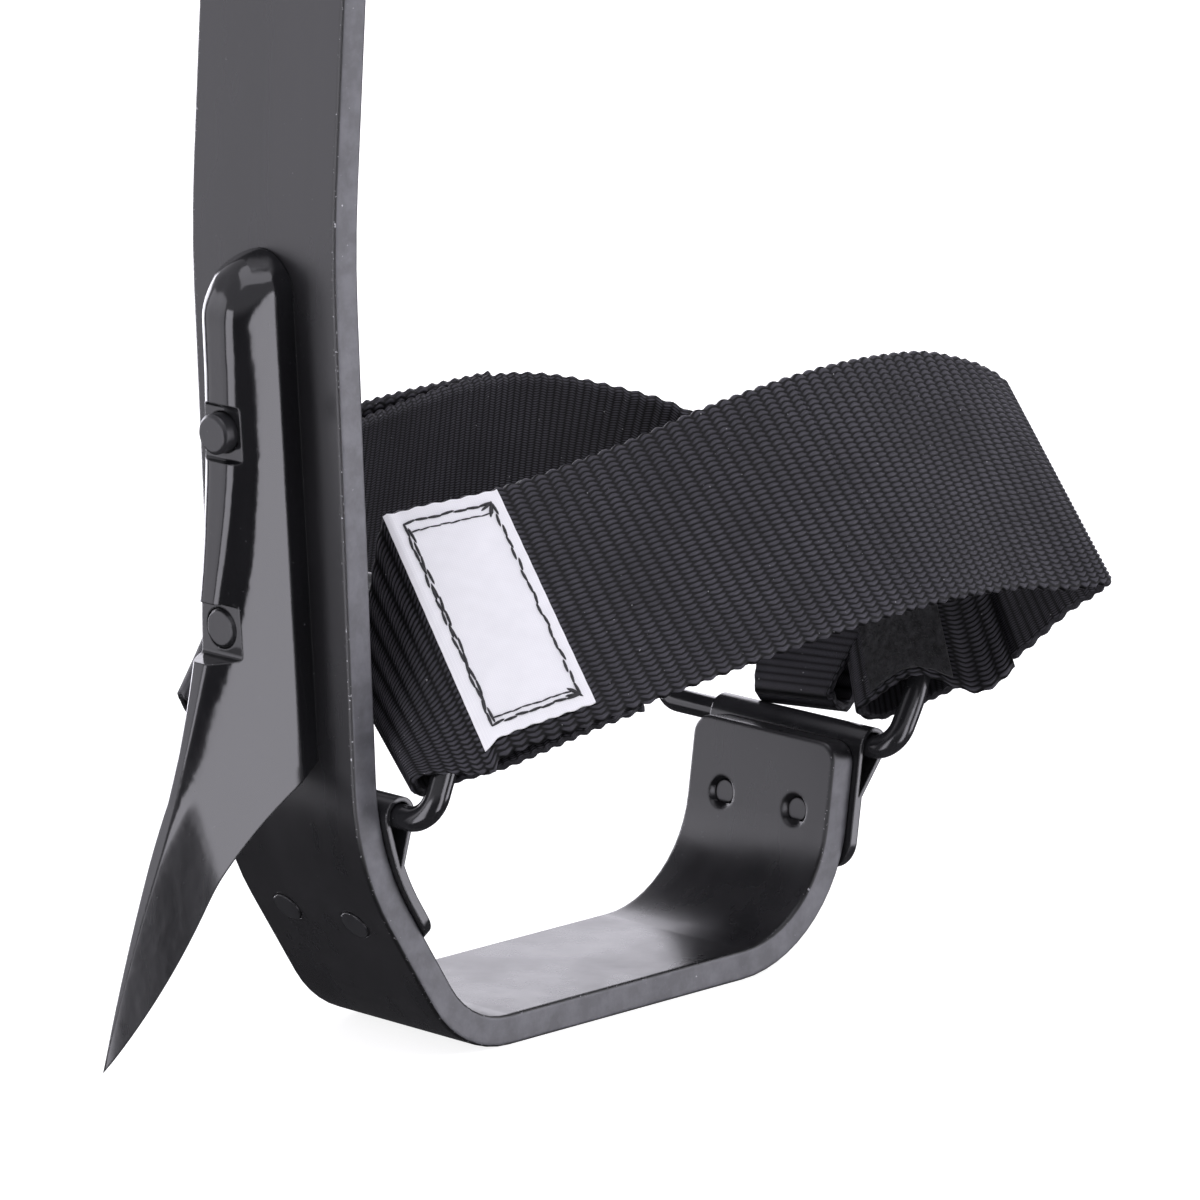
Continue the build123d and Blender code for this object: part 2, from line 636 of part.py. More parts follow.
def frames_along(stations):
    """Centre, half-width vector across and unit normal of the webbing at each station."""
    frames = []
    for index, (centre, edge, width) in enumerate(stations):
        before = stations[max(index - 1, 0)][0]
        after = stations[min(index + 1, len(stations) - 1)][0]
        along = (after - before).normalized()
        across = edge.normalized()
        frames.append((centre, across * (width / 2), along.cross(across).normalized()))
    return frames


def stretch(frames, start, length):
    """The frames of one stretch of webbing, from a distance along it and for a length."""
    picked = []
    travelled = 0
    for first, second in zip(frames, frames[1:]):
        step = (second[0] - first[0]).length
        for stop in (start, start + length):
            if travelled <= stop < travelled + step:
                share = (stop - travelled) / step
                picked.append(tuple(a * (1 - share) + b * share for a, b in zip(first, second)))
        travelled += step
        if start < travelled < start + length:
            picked.append(second)
    return picked


def ribbon(frames, low, high, share):
    """Band between two heights off the webbing's middle surface, over a share of its width."""
    sections = []
    for centre, side, normal in frames:
        under = centre + normal * low
        over = centre + normal * high
        edge = side * share
        corners = [under - edge, under + edge, over + edge, over - edge]
        sections.append(Wire(Polyline(*corners, close=True).edges()))
    return Solid.make_loft(sections, True)


def strap_frames(inner_tail, inner_fold, run, outer_fold, outer_tail):
    """Frames of one strap, from its tail at the inner ring to its tail at the outer ring."""
    stations = place_stations(inner_tail) + inner_fold + place_stations(run)
    stations += list(reversed(outer_fold)) + place_stations(outer_tail)
    return frames_along(smoothed(stations, STRAP_STEPS))


INSTEP_FRAMES = strap_frames(
    INSTEP_INNER_TAIL,
    fold_stations(INNER_RING, -1, INSTEP_INNER_FOLD, 1),
    INSTEP_RUN,
    fold_stations(OUTER_RING, -1, INSTEP_OUTER_FOLD, -1),
    INSTEP_OUTER_TAIL,
)
HEEL_FRAMES = strap_frames(
    HEEL_INNER_TAIL,
    fold_stations(INNER_RING, 1, HEEL_INNER_FOLD, 1),
    HEEL_RUN,
    fold_stations(OUTER_RING, 1, HEEL_OUTER_FOLD, 1),
    HEEL_OUTER_TAIL,
)
WEBBING_FACE = WEBBING_THICK / 2


def make_strap(frames):
    """One strap with both its loops."""
    return ribbon(frames, -WEBBING_FACE, WEBBING_FACE, 1)


def make_label():
    """Blank label sewn to the front run's outer face, beside the inner ring."""
    label = stretch(INSTEP_FRAMES, LABEL_PLACE, LABEL_WIDTH)
    return ribbon(label, WEBBING_FACE, WEBBING_FACE + LABEL_THICK, LABEL_LENGTH / WEBBING_WIDTH)


def make_fastener(place, length, low):
    """Hook or pile patch on the tail of the outer loop, at a distance from the tail's end."""
    patch = stretch(list(reversed(INSTEP_FRAMES)), place, length)
    return ribbon(patch, low, low + PATCH_THICK, 1 - 2 * PATCH_INSET / WEBBING_WIDTH)


def keeper_rivet_planes():
    """Planes of the keeper's two rivets, on the upper shank's outer face."""
    reach = (KEEPER_PASSAGE + KEEPER_FOOT) / 2 + KEEPER_THICK
    return [top_face(KEEPER_DROP + side * reach) for side in (-1, 1)]


def make_keeper():
    """Bent strip on the shank's outer face, with a passage for the calf strap behind it."""
    half = KEEPER_PASSAGE / 2
    thick, depth, foot = KEEPER_THICK, KEEPER_DEPTH, KEEPER_FOOT
    outline = Polyline(
        (-half - thick - foot, 0),
        (-half, 0),
        (-half, depth),
        (half, depth),
        (half, 0),
        (half + thick + foot, 0),
        (half + thick + foot, thick),
        (half + thick, thick),
        (half + thick, depth + thick),
        (-half - thick, depth + thick),
        (-half - thick, thick),
        (-half - thick - foot, thick),
        close=True,
    )
    strip = extrude(Plane.XZ * make_face(outline), KEEPER_WIDTH / 2, both=True)
    shoulders = strip.edges().filter_by(Axis.Y)
    shoulders = shoulders.filter_by(lambda edge: edge.center().Z > depth + thick / 2)
    strip = fillet(shoulders, KEEPER_BEND_RADIUS)
    keeper = top_face(KEEPER_DROP) * strip
    for plane in keeper_rivet_planes():
        keeper -= drill(plane, RIVET_DIAMETER + 2 * FIT, BAR_THICK * 2)
    return keeper


def make_parts():
    """Every piece by its node's name."""
    return {
        "leg_iron": make_leg_iron(),
        "gaff": make_gaff(),
        "gaff_screws": make_gaff_screws(),
        "inner_ring_clip": make_inner_clip(),
        "inner_clip_rivets": Compound(children=pair(inner_rivet(0), INNER_RIVET_SPACING)),
        "outer_ring_clip": make_outer_clip(),
        "outer_clip_rivets": Compound(children=pair(outer_rivet(0), OUTER_RIVET_SPACING)),
        "inner_ring": make_ring(INNER_RING),
        "outer_ring": make_ring(OUTER_RING),
        "instep_strap": make_strap(INSTEP_FRAMES),
        "heel_strap": make_strap(HEEL_FRAMES),
        "strap_label": make_label(),
        "loop_patch": make_fastener(PILE_PLACE, PILE_LENGTH, WEBBING_FACE),
        "hook_patch": make_fastener(HOOK_PLACE, HOOK_LENGTH, -WEBBING_FACE - PATCH_THICK),
        "calf_strap_keeper": make_keeper(),
        "keeper_rivets": Compound(children=[
            rivet_blank(plane, 0, KEEPER_THICK, -BAR_THICK, 0) for plane in keeper_rivet_planes()
        ]),
    }


os.makedirs("parts", exist_ok=True)
for node, shape in make_parts().items():
    export_step(shape, "parts/" + node + ".step")
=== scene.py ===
import json
from math import cos, pi, radians, sin

import bpy
import numpy as np
from mathutils import Matrix, Vector


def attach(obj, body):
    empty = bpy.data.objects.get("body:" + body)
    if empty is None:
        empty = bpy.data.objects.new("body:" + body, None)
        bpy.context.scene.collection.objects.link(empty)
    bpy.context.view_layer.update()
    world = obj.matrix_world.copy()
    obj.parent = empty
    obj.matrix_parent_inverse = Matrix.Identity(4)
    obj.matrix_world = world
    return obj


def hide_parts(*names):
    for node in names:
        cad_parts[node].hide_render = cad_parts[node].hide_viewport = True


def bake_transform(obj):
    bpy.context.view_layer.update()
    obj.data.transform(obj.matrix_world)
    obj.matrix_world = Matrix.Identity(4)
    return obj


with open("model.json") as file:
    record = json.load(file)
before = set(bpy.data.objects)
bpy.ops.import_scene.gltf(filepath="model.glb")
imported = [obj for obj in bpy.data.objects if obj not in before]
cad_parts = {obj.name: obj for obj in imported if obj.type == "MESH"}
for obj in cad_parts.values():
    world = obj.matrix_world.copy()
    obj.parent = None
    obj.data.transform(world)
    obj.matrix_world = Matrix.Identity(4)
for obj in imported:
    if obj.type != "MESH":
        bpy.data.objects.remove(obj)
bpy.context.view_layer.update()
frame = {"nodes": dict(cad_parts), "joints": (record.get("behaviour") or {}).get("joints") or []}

cad = frame["nodes"]
bpy.ops.object.select_all(action="DESELECT")


# Leg iron: one flat steel bar, bent cold into a stirrup below a long shank and sprayed with
# black paint. Its narrow sides are left rough by the shear and painted a lighter grey, which is
# partly their finish and partly painted light. Fine specks of bare steel show along its edges,
# and a painted dark line of shade runs along every rim.
def finish(name):
    """A new material, with its tree and its Principled shader."""
    made = bpy.data.materials.new(name)
    made.use_nodes = True
    return made, made.node_tree, made.node_tree.nodes["Principled BSDF"]


def node(tree, kind, sockets=(), **settings):
    """A node with its settings, and its sockets set or linked by name or number."""
    made = tree.nodes.new(kind)
    for name, value in settings.items():
        setattr(made, name, value)
    for name, value in dict(sockets).items():
        if isinstance(value, bpy.types.NodeSocket):
            tree.links.new(value, made.inputs[name])
        else:
            made.inputs[name].default_value = value
    return made


def calc(tree, operation, *values):
    """The result of one Math node."""
    return node(tree, "ShaderNodeMath", dict(enumerate(values)), operation=operation).outputs["Value"]


def ranged(tree, value, low, high, to_low, to_high):
    """A value taken from one range to another, and held there."""
    names = ("Value", "From Min", "From Max", "To Min", "To Max")
    sockets = dict(zip(names, (value, low, high, to_low, to_high)))
    return node(tree, "ShaderNodeMapRange", sockets).outputs["Result"]


def tinted(tree, share, first, second, blend="MIX"):
    """Two colours mixed or multiplied."""
    sockets = {"Fac": share, "Color1": first, "Color2": second}
    return node(tree, "ShaderNodeMixRGB", sockets, blend_type=blend).outputs["Color"]


def noise(tree, place, scale, detail, roughness=0.5):
    """A noise texture's value at a place."""
    sockets = {"Vector": place, "Scale": scale, "Detail": detail, "Roughness": roughness}
    return node(tree, "ShaderNodeTexNoise", sockets).outputs["Fac"]


def effect(name, inputs, outputs):
    """A shader node group with named sockets."""
    tree = bpy.data.node_groups.new(name, "ShaderNodeTree")
    for label, kind in inputs.items():
        tree.interface.new_socket(label, in_out="INPUT", socket_type="NodeSocket" + kind)
    for label, kind in outputs.items():
        tree.interface.new_socket(label, in_out="OUTPUT", socket_type="NodeSocket" + kind)
    return tree, tree.nodes.new("NodeGroupInput").outputs, tree.nodes.new("NodeGroupOutput").inputs


film, film_in, film_out = effect(
    "paint_film",
    {"Tone": "Color", "Gloss": "Float", "Rim": "Float", "Side": "Float", "Wear": "Float", "Wave": "Float"},
    {"Color": "Color", "Roughness": "Float", "Bare": "Float", "Height": "Float"},
)
spot = node(film, "ShaderNodeTexCoord").outputs["Object"]
drawn_out = node(film, "ShaderNodeMapping", {"Vector": spot, "Scale": (1.0, 1.0, 0.22)}).outputs["Vector"]
smudge = noise(film, drawn_out, 60.0, 4.0, 0.6)
peel = noise(film, spot, 520.0, 2.0)
hammered = noise(film, spot, 300.0, 3.0, 0.6)
grit = noise(film, spot, 2100.0, 1.0)
chips = noise(film, spot, 760.0, 3.0, 0.7)
specks = noise(film, spot, 1800.0, 2.0, 0.6)
cloudy = ranged(film, smudge, 0.35, 0.68, 0.78, 1.3)
body_tone = tinted(film, 1.0, film_in["Tone"], cloudy, "MULTIPLY")
dents = ranged(film, hammered, 0.38, 0.66, 0.0, 1.0)
# Sides: a lighter grey with hammered dents, partly the sheared finish and partly painted light for the light
# the sides catch.
sheared_and_lit = tinted(film, dents, (0.062, 0.062, 0.069, 1), (0.098, 0.098, 0.11, 1))
sided = tinted(film, film_in["Side"], body_tone, sheared_and_lit)
dusted = tinted(film, ranged(film, grit, 0.78, 0.83, 0.0, 0.35), sided, (0.22, 0.22, 0.23, 1))
# Painted shade: a near-black line along every rim.
rim_shaded = tinted(film, calc(film, "MULTIPLY", film_in["Rim"], 0.75), dusted, (0.004, 0.004, 0.004, 1))
flaked = calc(film, "MULTIPLY", ranged(film, specks, 0.66, 0.71, 0.0, 0.8), film_in["Rim"])
pitted = calc(film, "MULTIPLY", ranged(film, chips, 0.71, 0.75, 0.0, 0.7), film_in["Side"])
bare = calc(film, "MULTIPLY", calc(film, "ADD", flaked, pitted), film_in["Wear"])
worn = tinted(film, bare, rim_shaded, (0.62, 0.62, 0.64, 1))
dulled = calc(film, "MULTIPLY_ADD", film_in["Side"], 0.16, ranged(film, smudge, 0.3, 0.7, -0.05, 0.07))
film.links.new(worn, film_out["Color"])
film.links.new(calc(film, "ADD", dulled, film_in["Gloss"]), film_out["Roughness"])
film.links.new(bare, film_out["Bare"])
rolling = calc(film, "MULTIPLY_ADD", noise(film, spot, 120.0, 3.0, 0.6), film_in["Wave"], peel)
roughened = calc(film, "MULTIPLY_ADD", hammered, calc(film, "MULTIPLY", film_in["Side"], 5.0), rolling)
film.links.new(roughened, film_out["Height"])


BAR_RIM = (0.0149, 0.0154)


def painted(name, tone, gloss, wear, rim_width, peel_depth, rough_and_lit_sides=0.0, wave=0.0):
    """Black paint on steel: softened edges, worn rims with a painted dark line of shade, and a
    slight orange peel.

    The bar has rough sides, painted a lighter grey that is partly their finish and partly painted
    light, and its rims are found by their distance from its middle.
    """
    made, tree, shader = finish(name)
    soft = node(tree, "ShaderNodeBevel", {"Radius": rim_width}, samples=6).outputs["Normal"]
    flat = node(tree, "ShaderNodeNewGeometry").outputs["Normal"]
    across = calc(tree, "ABSOLUTE", node(tree, "ShaderNodeSeparateXYZ", {0: flat}).outputs["Y"])
    if rough_and_lit_sides:
        place = node(tree, "ShaderNodeTexCoord").outputs["Object"]
        from_middle = calc(tree, "ABSOLUTE", node(tree, "ShaderNodeSeparateXYZ", {0: place}).outputs["Y"])
        near_edge = ranged(tree, from_middle, *BAR_RIM, 0.0, 1.0)
        rim = calc(tree, "MULTIPLY", near_edge, ranged(tree, across, 0.97, 0.8, 0.0, 1.0))
    else:
        facing = node(tree, "ShaderNodeVectorMath", {0: soft, 1: flat}, operation="DOT_PRODUCT")
        rim = ranged(tree, facing.outputs["Value"], 0.97, 0.84, 0.0, 1.0)
    sockets = {
        "Tone": tone,
        "Gloss": gloss,
        "Wear": wear,
        "Wave": wave,
        "Rim": rim,
        "Side": ranged(tree, across, 0.9, 0.99, 0.0, rough_and_lit_sides),
    }
    coat_of = node(tree, "ShaderNodeGroup", sockets, node_tree=film)
    bump = node(
        tree, "ShaderNodeBump",
        {"Strength": 0.25, "Distance": peel_depth, "Height": coat_of.outputs["Height"], "Normal": soft},
    )
    tree.links.new(coat_of.outputs["Color"], shader.inputs["Base Color"])
    tree.links.new(coat_of.outputs["Roughness"], shader.inputs["Roughness"])
    tree.links.new(coat_of.outputs["Bare"], shader.inputs["Metallic"])
    tree.links.new(bump.outputs["Normal"], shader.inputs["Normal"])
    shader.inputs["IOR"].default_value = 1.55
    return made


def coat(names, made):
    """Give CAD nodes one finish, on every slot."""
    for name in names:
        mesh = cad[name].data
        mesh.materials.clear()
        mesh.materials.append(made)


bar_paint = painted(
    "bar_paint", (0.014, 0.0137, 0.0153, 1), gloss=0.27, wear=0.9, rim_width=0.0008, peel_depth=0.00004,
    rough_and_lit_sides=1.0,
)
coat(["leg_iron"], bar_paint)


# Gaff: a drop-forged spur, screwed flat to the shank and painted a deeper gloss black than the
# bar. A narrow land runs down its back, its flanks flare to a broad foot, and the blade below the
# crotch is ground to a point. Lengths are along the shank from the crotch, and out from its face.
MM = 0.001
SHANK_LEAN = radians(3.1)
SHANK_UP = Vector((-sin(SHANK_LEAN), 0, cos(SHANK_LEAN)))
SHANK_OUT = Vector((-cos(SHANK_LEAN), 0, -sin(SHANK_LEAN)))
CROTCH = Vector((-66.32, 0, 46.3))
NOSE, STANDOFF, LAND_START, SWEEP_RADIUS = 80.3, 10.4, 64.0, 168.0
KINK, TIP, HEEL = (23.76, -3.0), (40.5, -42.2), (20.2, -20.2)
CROTCH_SLOPE = 34.0
NOSE_ROUND, SIDE_DEPTH = 6.8, 3.8
GROUND_HALF, GROUND_OUT, GROUND_UP = 5.72, 0.183, 0.0435
CORNER_DEPTH = 0.76
SCREW_HOLES = ((22.5, 11.7), (53.2, 9.6))
NOTCH_HEIGHT, NOTCH_SPAN, NOTCH_CORNER = 9.0, 20.0, 0.7
HOLE_RADIUS, HOLE_LENGTH = 3.3, 60.0


def shallow_arc(start, end, bulge):
    """Points along a shallow curve that stands off its chord to the left."""
    start, end = np.array(start), np.array(end)
    chord = end - start
    aside = np.array([-chord[1], chord[0]]) / np.linalg.norm(chord)
    share = np.linspace(0, 1, 40)[:, None]
    return start + chord * share + aside * bulge * 4 * share * (1 - share)


def land_line(place):
    """Distance of the land from the shank's face, down to the tip."""
    swept = STANDOFF + np.clip(LAND_START - place, 0, None) ** 2 / (2 * SWEEP_RADIUS)
    over = np.clip(place - (NOSE - STANDOFF), 0, STANDOFF)
    edge = shallow_arc(TIP, KINK, -0.65)
    blade = np.interp(place, edge[:, 1], edge[:, 0])
    return np.where(place < KINK[1], blade, swept - STANDOFF + np.sqrt(STANDOFF ** 2 - over ** 2))


def belly_line(place):
    """Distance of the foot or the belly from the shank's face."""
    bulge = np.linalg.norm(HEEL) / 2 * np.tan(radians(45 - CROTCH_SLOPE) / 2)
    edge = np.vstack([shallow_arc(TIP, HEEL, 1.1), shallow_arc(HEEL, (0, 0), -bulge)])
    return np.interp(place, edge[:, 1], edge[:, 0])


def soft_min(first, second, blend):
    """The smaller of two widths, with their corner rounded."""
    return -blend * np.logaddexp(-first / blend, -second / blend)


def land_half(place):
    """Half the width of the land."""
    lows = (-42.2, -20.0, -13.0, -8.0, -3.0, 4.0, 11.0, 32.0, 41.0, 55.0, 72.0, 77.0, 80.3)
    return np.interp(place, lows, (0.1, 1.5, 1.5, 1.2, 0.95, 0.9, 1.15, 2.1, 2.65, 3.1, 3.2, 2.6, 0.0))


def half_width(out, place):
    """Half the gaff's thickness: steep sides at the foot, a flaring flank, a bevel, the ground blade."""
    past = np.clip(place - (NOSE - NOSE_ROUND), 0, NOSE_ROUND)
    rounding = NOSE_ROUND - np.sqrt(NOSE_ROUND ** 2 - past ** 2)
    foot = np.interp(place, (0, 40, 70), (8.2, 7.4, NOSE_ROUND)) - rounding
    flank = foot - np.interp(place, (0, 11), (0.36, 0.42)) * (out - SIDE_DEPTH)
    ground = GROUND_HALF - GROUND_OUT * out - GROUND_UP * place
    bevel = land_half(place) + np.interp(place, (0, 30), (0.6, 0.86)) * (land_line(place) - out)
    forged = soft_min(bevel, -soft_min(-flank, -ground, 0.12), 0.25)
    return np.clip(soft_min(forged, foot, 0.08), 0, None)


over_nose = NOSE - STANDOFF + STANDOFF * np.cos(np.linspace(0, pi / 2, 18))
places = np.concatenate([over_nose, np.linspace(NOSE - STANDOFF, TIP[1], 205)[1:]])
SIDE_COUNT, CORNER_COUNT, LAND_COUNT, BACK_COUNT = 58, 8, 4, 3
columns = BACK_COUNT + SIDE_COUNT + CORNER_COUNT + LAND_COUNT
bpy.ops.mesh.primitive_grid_add(x_subdivisions=len(places) - 1, y_subdivisions=columns - 1, size=1)
gaff = bpy.context.object
gaff.name = "forged_gaff"
corner = np.linspace(0, 1, CORNER_COUNT + 1)[1:]
spots = {}
for row, place in enumerate(places):
    outer, inner = land_line(place), belly_line(place)
    edge = min(land_half(place), half_width(outer, place))
    rounded = np.interp(place, (-42, -10, 4, 32, 64), (0.03, 0.25, 0.5, 1.3, 2.0))
    soft = min(rounded, edge, (outer - inner) / 3)
    side = np.linspace(inner, outer - CORNER_DEPTH * soft, SIDE_COUNT)
    wide = half_width(side, place)
    back = [(inner, wide[0] * share) for share in np.linspace(0, 1, BACK_COUNT, endpoint=False)]
    turn_out = side[-1] * (1 - corner) ** 2 + outer * (1 - (1 - corner) ** 2)
    turn_wide = wide[-1] * (1 - corner) ** 2 + edge * 2 * corner * (1 - corner) + (edge - soft) * corner ** 2
    land = [(outer, (edge - soft) * share) for share in np.linspace(1, 0, LAND_COUNT + 1)[1:]]
    ended = row in (0, len(places) - 1)
    for column, (out, width) in enumerate([*back, *zip(side, wide), *zip(turn_out, turn_wide), *land]):
        aside = Vector((0, 0 if ended else float(width), 0))
        spots[row, column] = (CROTCH + SHANK_UP * float(place) + SHANK_OUT * float(out) - aside) * MM
for vertex in gaff.data.vertices:
    row = round((vertex.co.x + 0.5) * (len(places) - 1))
    column = round((vertex.co.y + 0.5) * (columns - 1))
    vertex.co = spots[row, column]
gaff.modifiers.new("far_half", "MIRROR").use_axis = (False, True, False)
gaff.modifiers["far_half"].merge_threshold = 0.00001
bpy.ops.object.modifier_apply(modifier="far_half")
bpy.ops.object.mode_set(mode="EDIT")
bpy.ops.mesh.select_all(action="SELECT")
bpy.ops.mesh.remove_doubles(threshold=0.000002)
bpy.ops.mesh.normals_make_consistent(inside=False)
bpy.ops.object.mode_set(mode="OBJECT")
across_shank = Matrix((SHANK_OUT, (0, 1, 0), SHANK_UP)).transposed().to_4x4()
for place, notch_floor in SCREW_HOLES:
    on_face = CROTCH + SHANK_UP * place
    bpy.ops.mesh.primitive_cube_add(size=1)
    notch = bpy.context.object
    notch.data.transform(Matrix.Diagonal((NOTCH_SPAN * MM, NOTCH_SPAN * MM, NOTCH_HEIGHT * MM, 1)))
    notch.modifiers.new("corners", "BEVEL").width = NOTCH_CORNER * MM
    notch.modifiers["corners"].segments = 3
    notch_middle = on_face + SHANK_OUT * (notch_floor + NOTCH_SPAN / 2)
    notch.matrix_world = Matrix.Translation(notch_middle * MM) @ across_shank
    bpy.ops.mesh.primitive_cylinder_add(vertices=40, radius=HOLE_RADIUS * MM, depth=HOLE_LENGTH * MM)
    hole = bpy.context.object
    hole.matrix_world = Matrix.Translation(on_face * MM) @ across_shank @ Matrix.Rotation(pi / 2, 4, "Y")
    bpy.context.view_layer.objects.active = gaff
    for cutter in (notch, hole):
        cut = gaff.modifiers.new("cut", "BOOLEAN")
        cut.operation, cut.solver, cut.object = "DIFFERENCE", "EXACT", cutter
        bpy.ops.object.modifier_apply(modifier="cut")
        bpy.data.objects.remove(cutter)
bpy.ops.object.select_all(action="DESELECT")
gaff.select_set(True)
bpy.ops.object.shade_smooth_by_angle(angle=radians(32))
gaff_paint = painted(
    "gaff_paint", (0.009, 0.009, 0.0102, 1), gloss=0.14, wear=0.7, rim_width=0.0004, peel_depth=0.00005,
    wave=9.0,
)
gaff_tree = gaff_paint.node_tree
gaff_coat = gaff_tree.nodes["Group"]
ground_way = (SHANK_OUT * GROUND_OUT + SHANK_UP * GROUND_UP + Vector((0, 1, 0))).normalized()
turned_to = node(gaff_tree, "ShaderNodeTexCoord").outputs["Normal"]
far_side = node(gaff_tree, "ShaderNodeVectorMath", {0: turned_to, 1: (1, -1, 1)}, operation="MULTIPLY")
facings = [
    node(gaff_tree, "ShaderNodeVectorMath", {0: way, 1: ground_way}, operation="DOT_PRODUCT").outputs["Value"]
    for way in (turned_to, far_side.outputs["Vector"])
]
ground_mask = ranged(gaff_tree, calc(gaff_tree, "MAXIMUM", *facings), 0.989, 0.997, 0.0, 0.13)
gaff_shader = gaff_tree.nodes["Principled BSDF"]
satin = calc(gaff_tree, "ADD", gaff_coat.outputs["Roughness"], ground_mask)
gaff_tree.links.new(satin, gaff_shader.inputs["Roughness"])
gaff.data.materials.append(gaff_paint)
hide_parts("gaff")
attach(gaff, "climber")


# Gaff screws: two flat-head machine screws from the shank's inner side, with their ends showing
# in the gaff's notches, and the rivets of the clips and the keeper, all in worn black oxide.
coat(
    ["gaff_screws", "inner_clip_rivets", "outer_clip_rivets", "keeper_rivets"],
    painted(
        "fastener_black", (0.018, 0.018, 0.02, 1), gloss=0.3, wear=0.6, rim_width=0.0004, peel_depth=0.00003
    ),
)


# Ring clips and calf strap keeper: strips of sheet steel, folded round the ring's bar or over
# the strap's passage, riveted to the bar and painted with it.
coat(
    ["inner_ring_clip", "outer_ring_clip", "calf_strap_keeper"],
    painted(
        "clip_paint", (0.015, 0.015, 0.0165, 1), gloss=0.2, wear=0.5, rim_width=0.0004, peel_depth=0.00003
    ),
)


# D-rings: round wire bent to a D and welded on its straight bar, in glossy black paint.
coat(
    ["inner_ring", "outer_ring"],
    painted(
        "ring_paint", (0.014, 0.014, 0.0155, 1), gloss=0.16, wear=0.2, rim_width=0.0004, peel_depth=0.00004
    ),
)


# Heel strap: charcoal nylon webbing, 1 3/4 inch wide, behind the heel from ring to ring. Each end
# goes through its D-ring and folds back on itself. The coarse face of the weave has ribs of
# staggered ovals, the other face is finer, and the selvedges are scalloped. It is made as two
# pieces, one for each ring, and their joint is behind the instep strap.
WEB_WIDTH = 44.45
WEB_CORE = 0.6
RIB_PITCH = 2.65
END_PITCH = WEB_WIDTH / 47
ROW_STEP = RIB_PITCH / 5
OVAL_REACH, OVAL_HALF = 0.56, 0.42
FINE_SCALE = 2.1
COARSE_RELIEF, FINE_RELIEF, FINE_RIBS = 0.34, 0.12, 0.03
SELVEDGE, SCALLOP = 1.0, 0.010
TURN, LEG_REACH = 3.2, 31.0
eyes = [Vector(joint["pos_m"]) / MM for joint in frame["joints"]]


def laid(places):
    """Places along a strap, between the two rings' eyes: centre, direction across, width."""
    stations = []
    for share, offset, height, across in places:
        level = eyes[0].lerp(eyes[1], share)
        stations.append([level.x, offset, level.z + height, *Vector(across).normalized(), WEB_WIDTH])
    return stations


def folded(eye, tilt, slip, hand, skew, foot, head, inset, tail_side, flare=0.0):
    """A strap's fold round a D-ring's wire, from the tail's leg to the run's leg.

    The ring's plane has a tilt and a slip along its eye. The wire is at a skew to the eye, on one hand, and
    an inset away from it. The strap's edges are at foot and head on the wire, and its legs may flare.
    """
    rise = Vector((sin(radians(tilt)), 0, cos(radians(tilt))))
    bar = Vector((0, 1, 0))
    aside = bar.cross(rise)
    start = Vector((eye.x, slip, eye.z))
    across = bar * (-hand * cos(radians(skew))) + rise * sin(radians(skew))
    out = bar * (hand * sin(radians(skew))) + rise * cos(radians(skew))
    narrow, wide = head - foot, (head - foot + WEB_WIDTH) / 2
    route = [(LEG_REACH, tail_side * (TURN + 1), wide), (inset, tail_side * TURN, narrow)]
    for step in (45, 90, 135):
        lean = radians(step)
        route.append((inset - TURN * sin(lean), tail_side * TURN * cos(lean), narrow))
    route += [(inset, -tail_side * TURN, narrow), (LEG_REACH, -tail_side * (TURN + 1), wide)]
    stations = []
    for reach, lift, width in route:
        middle = (foot + head) / 2 + flare * (width - narrow)
        centre = start + across * middle + out * reach + aside * lift
        stations.append([*centre, *across, width])
    return stations


def strap_line(stations):
    """Rows of webbing along a smooth line through its stations, a fifth of a rib apart."""
    points = np.array([stations[0], *stations, stations[-1]], float)
    share = np.linspace(0, 1, 40, endpoint=False)[:, None]
    runs = []
    for before, near, far, after in zip(points, points[1:], points[2:], points[3:]):
        cubic = (3 * near - before - 3 * far + after) * share ** 3
        square = (2 * before - 5 * near + 4 * far - after) * share ** 2
        runs.append((2 * near + (far - before) * share + square + cubic) / 2)
    fine = np.vstack(runs + [points[-1:]])
    travelled = np.concatenate([[0], np.cumsum(np.linalg.norm(np.diff(fine[:, :3], axis=0), axis=1))])
    rows = np.arange(0, travelled[-1], ROW_STEP)
    even = np.stack([np.interp(rows, travelled, column) for column in fine.T], 1)
    along = np.gradient(even[:, :3], axis=0)
    along /= np.linalg.norm(along, axis=1)[:, None]
    across = even[:, 3:6] / np.linalg.norm(even[:, 3:6], axis=1)[:, None]
    normal = np.cross(along, across)
    normal /= np.linalg.norm(normal, axis=1)[:, None]
    return {"rows": rows, "centre": even[:, :3], "across": across, "half": even[:, 6:7] / 2, "normal": normal}


def ovals(along, across):
    """Height of the weave's coarse face, 0 to 1: ribs of ovals, staggered so that they interlock."""
    swells = []
    before = np.floor(along / RIB_PITCH)
    for rib in (before, before + 1):
        down = along / RIB_PITCH - rib
        over = across / END_PITCH + 0.5 * (rib % 2)
        over = over - np.round(over)
        swells.append(np.clip(1 - (down / OVAL_REACH) ** 2 - (over / OVAL_HALF) ** 2, 0, 1))
    groove = np.clip(np.abs(swells[0] - swells[1]) / 0.3, 0, 1)
    return np.sqrt(np.maximum(*swells)) * (0.4 + 0.6 * groove)


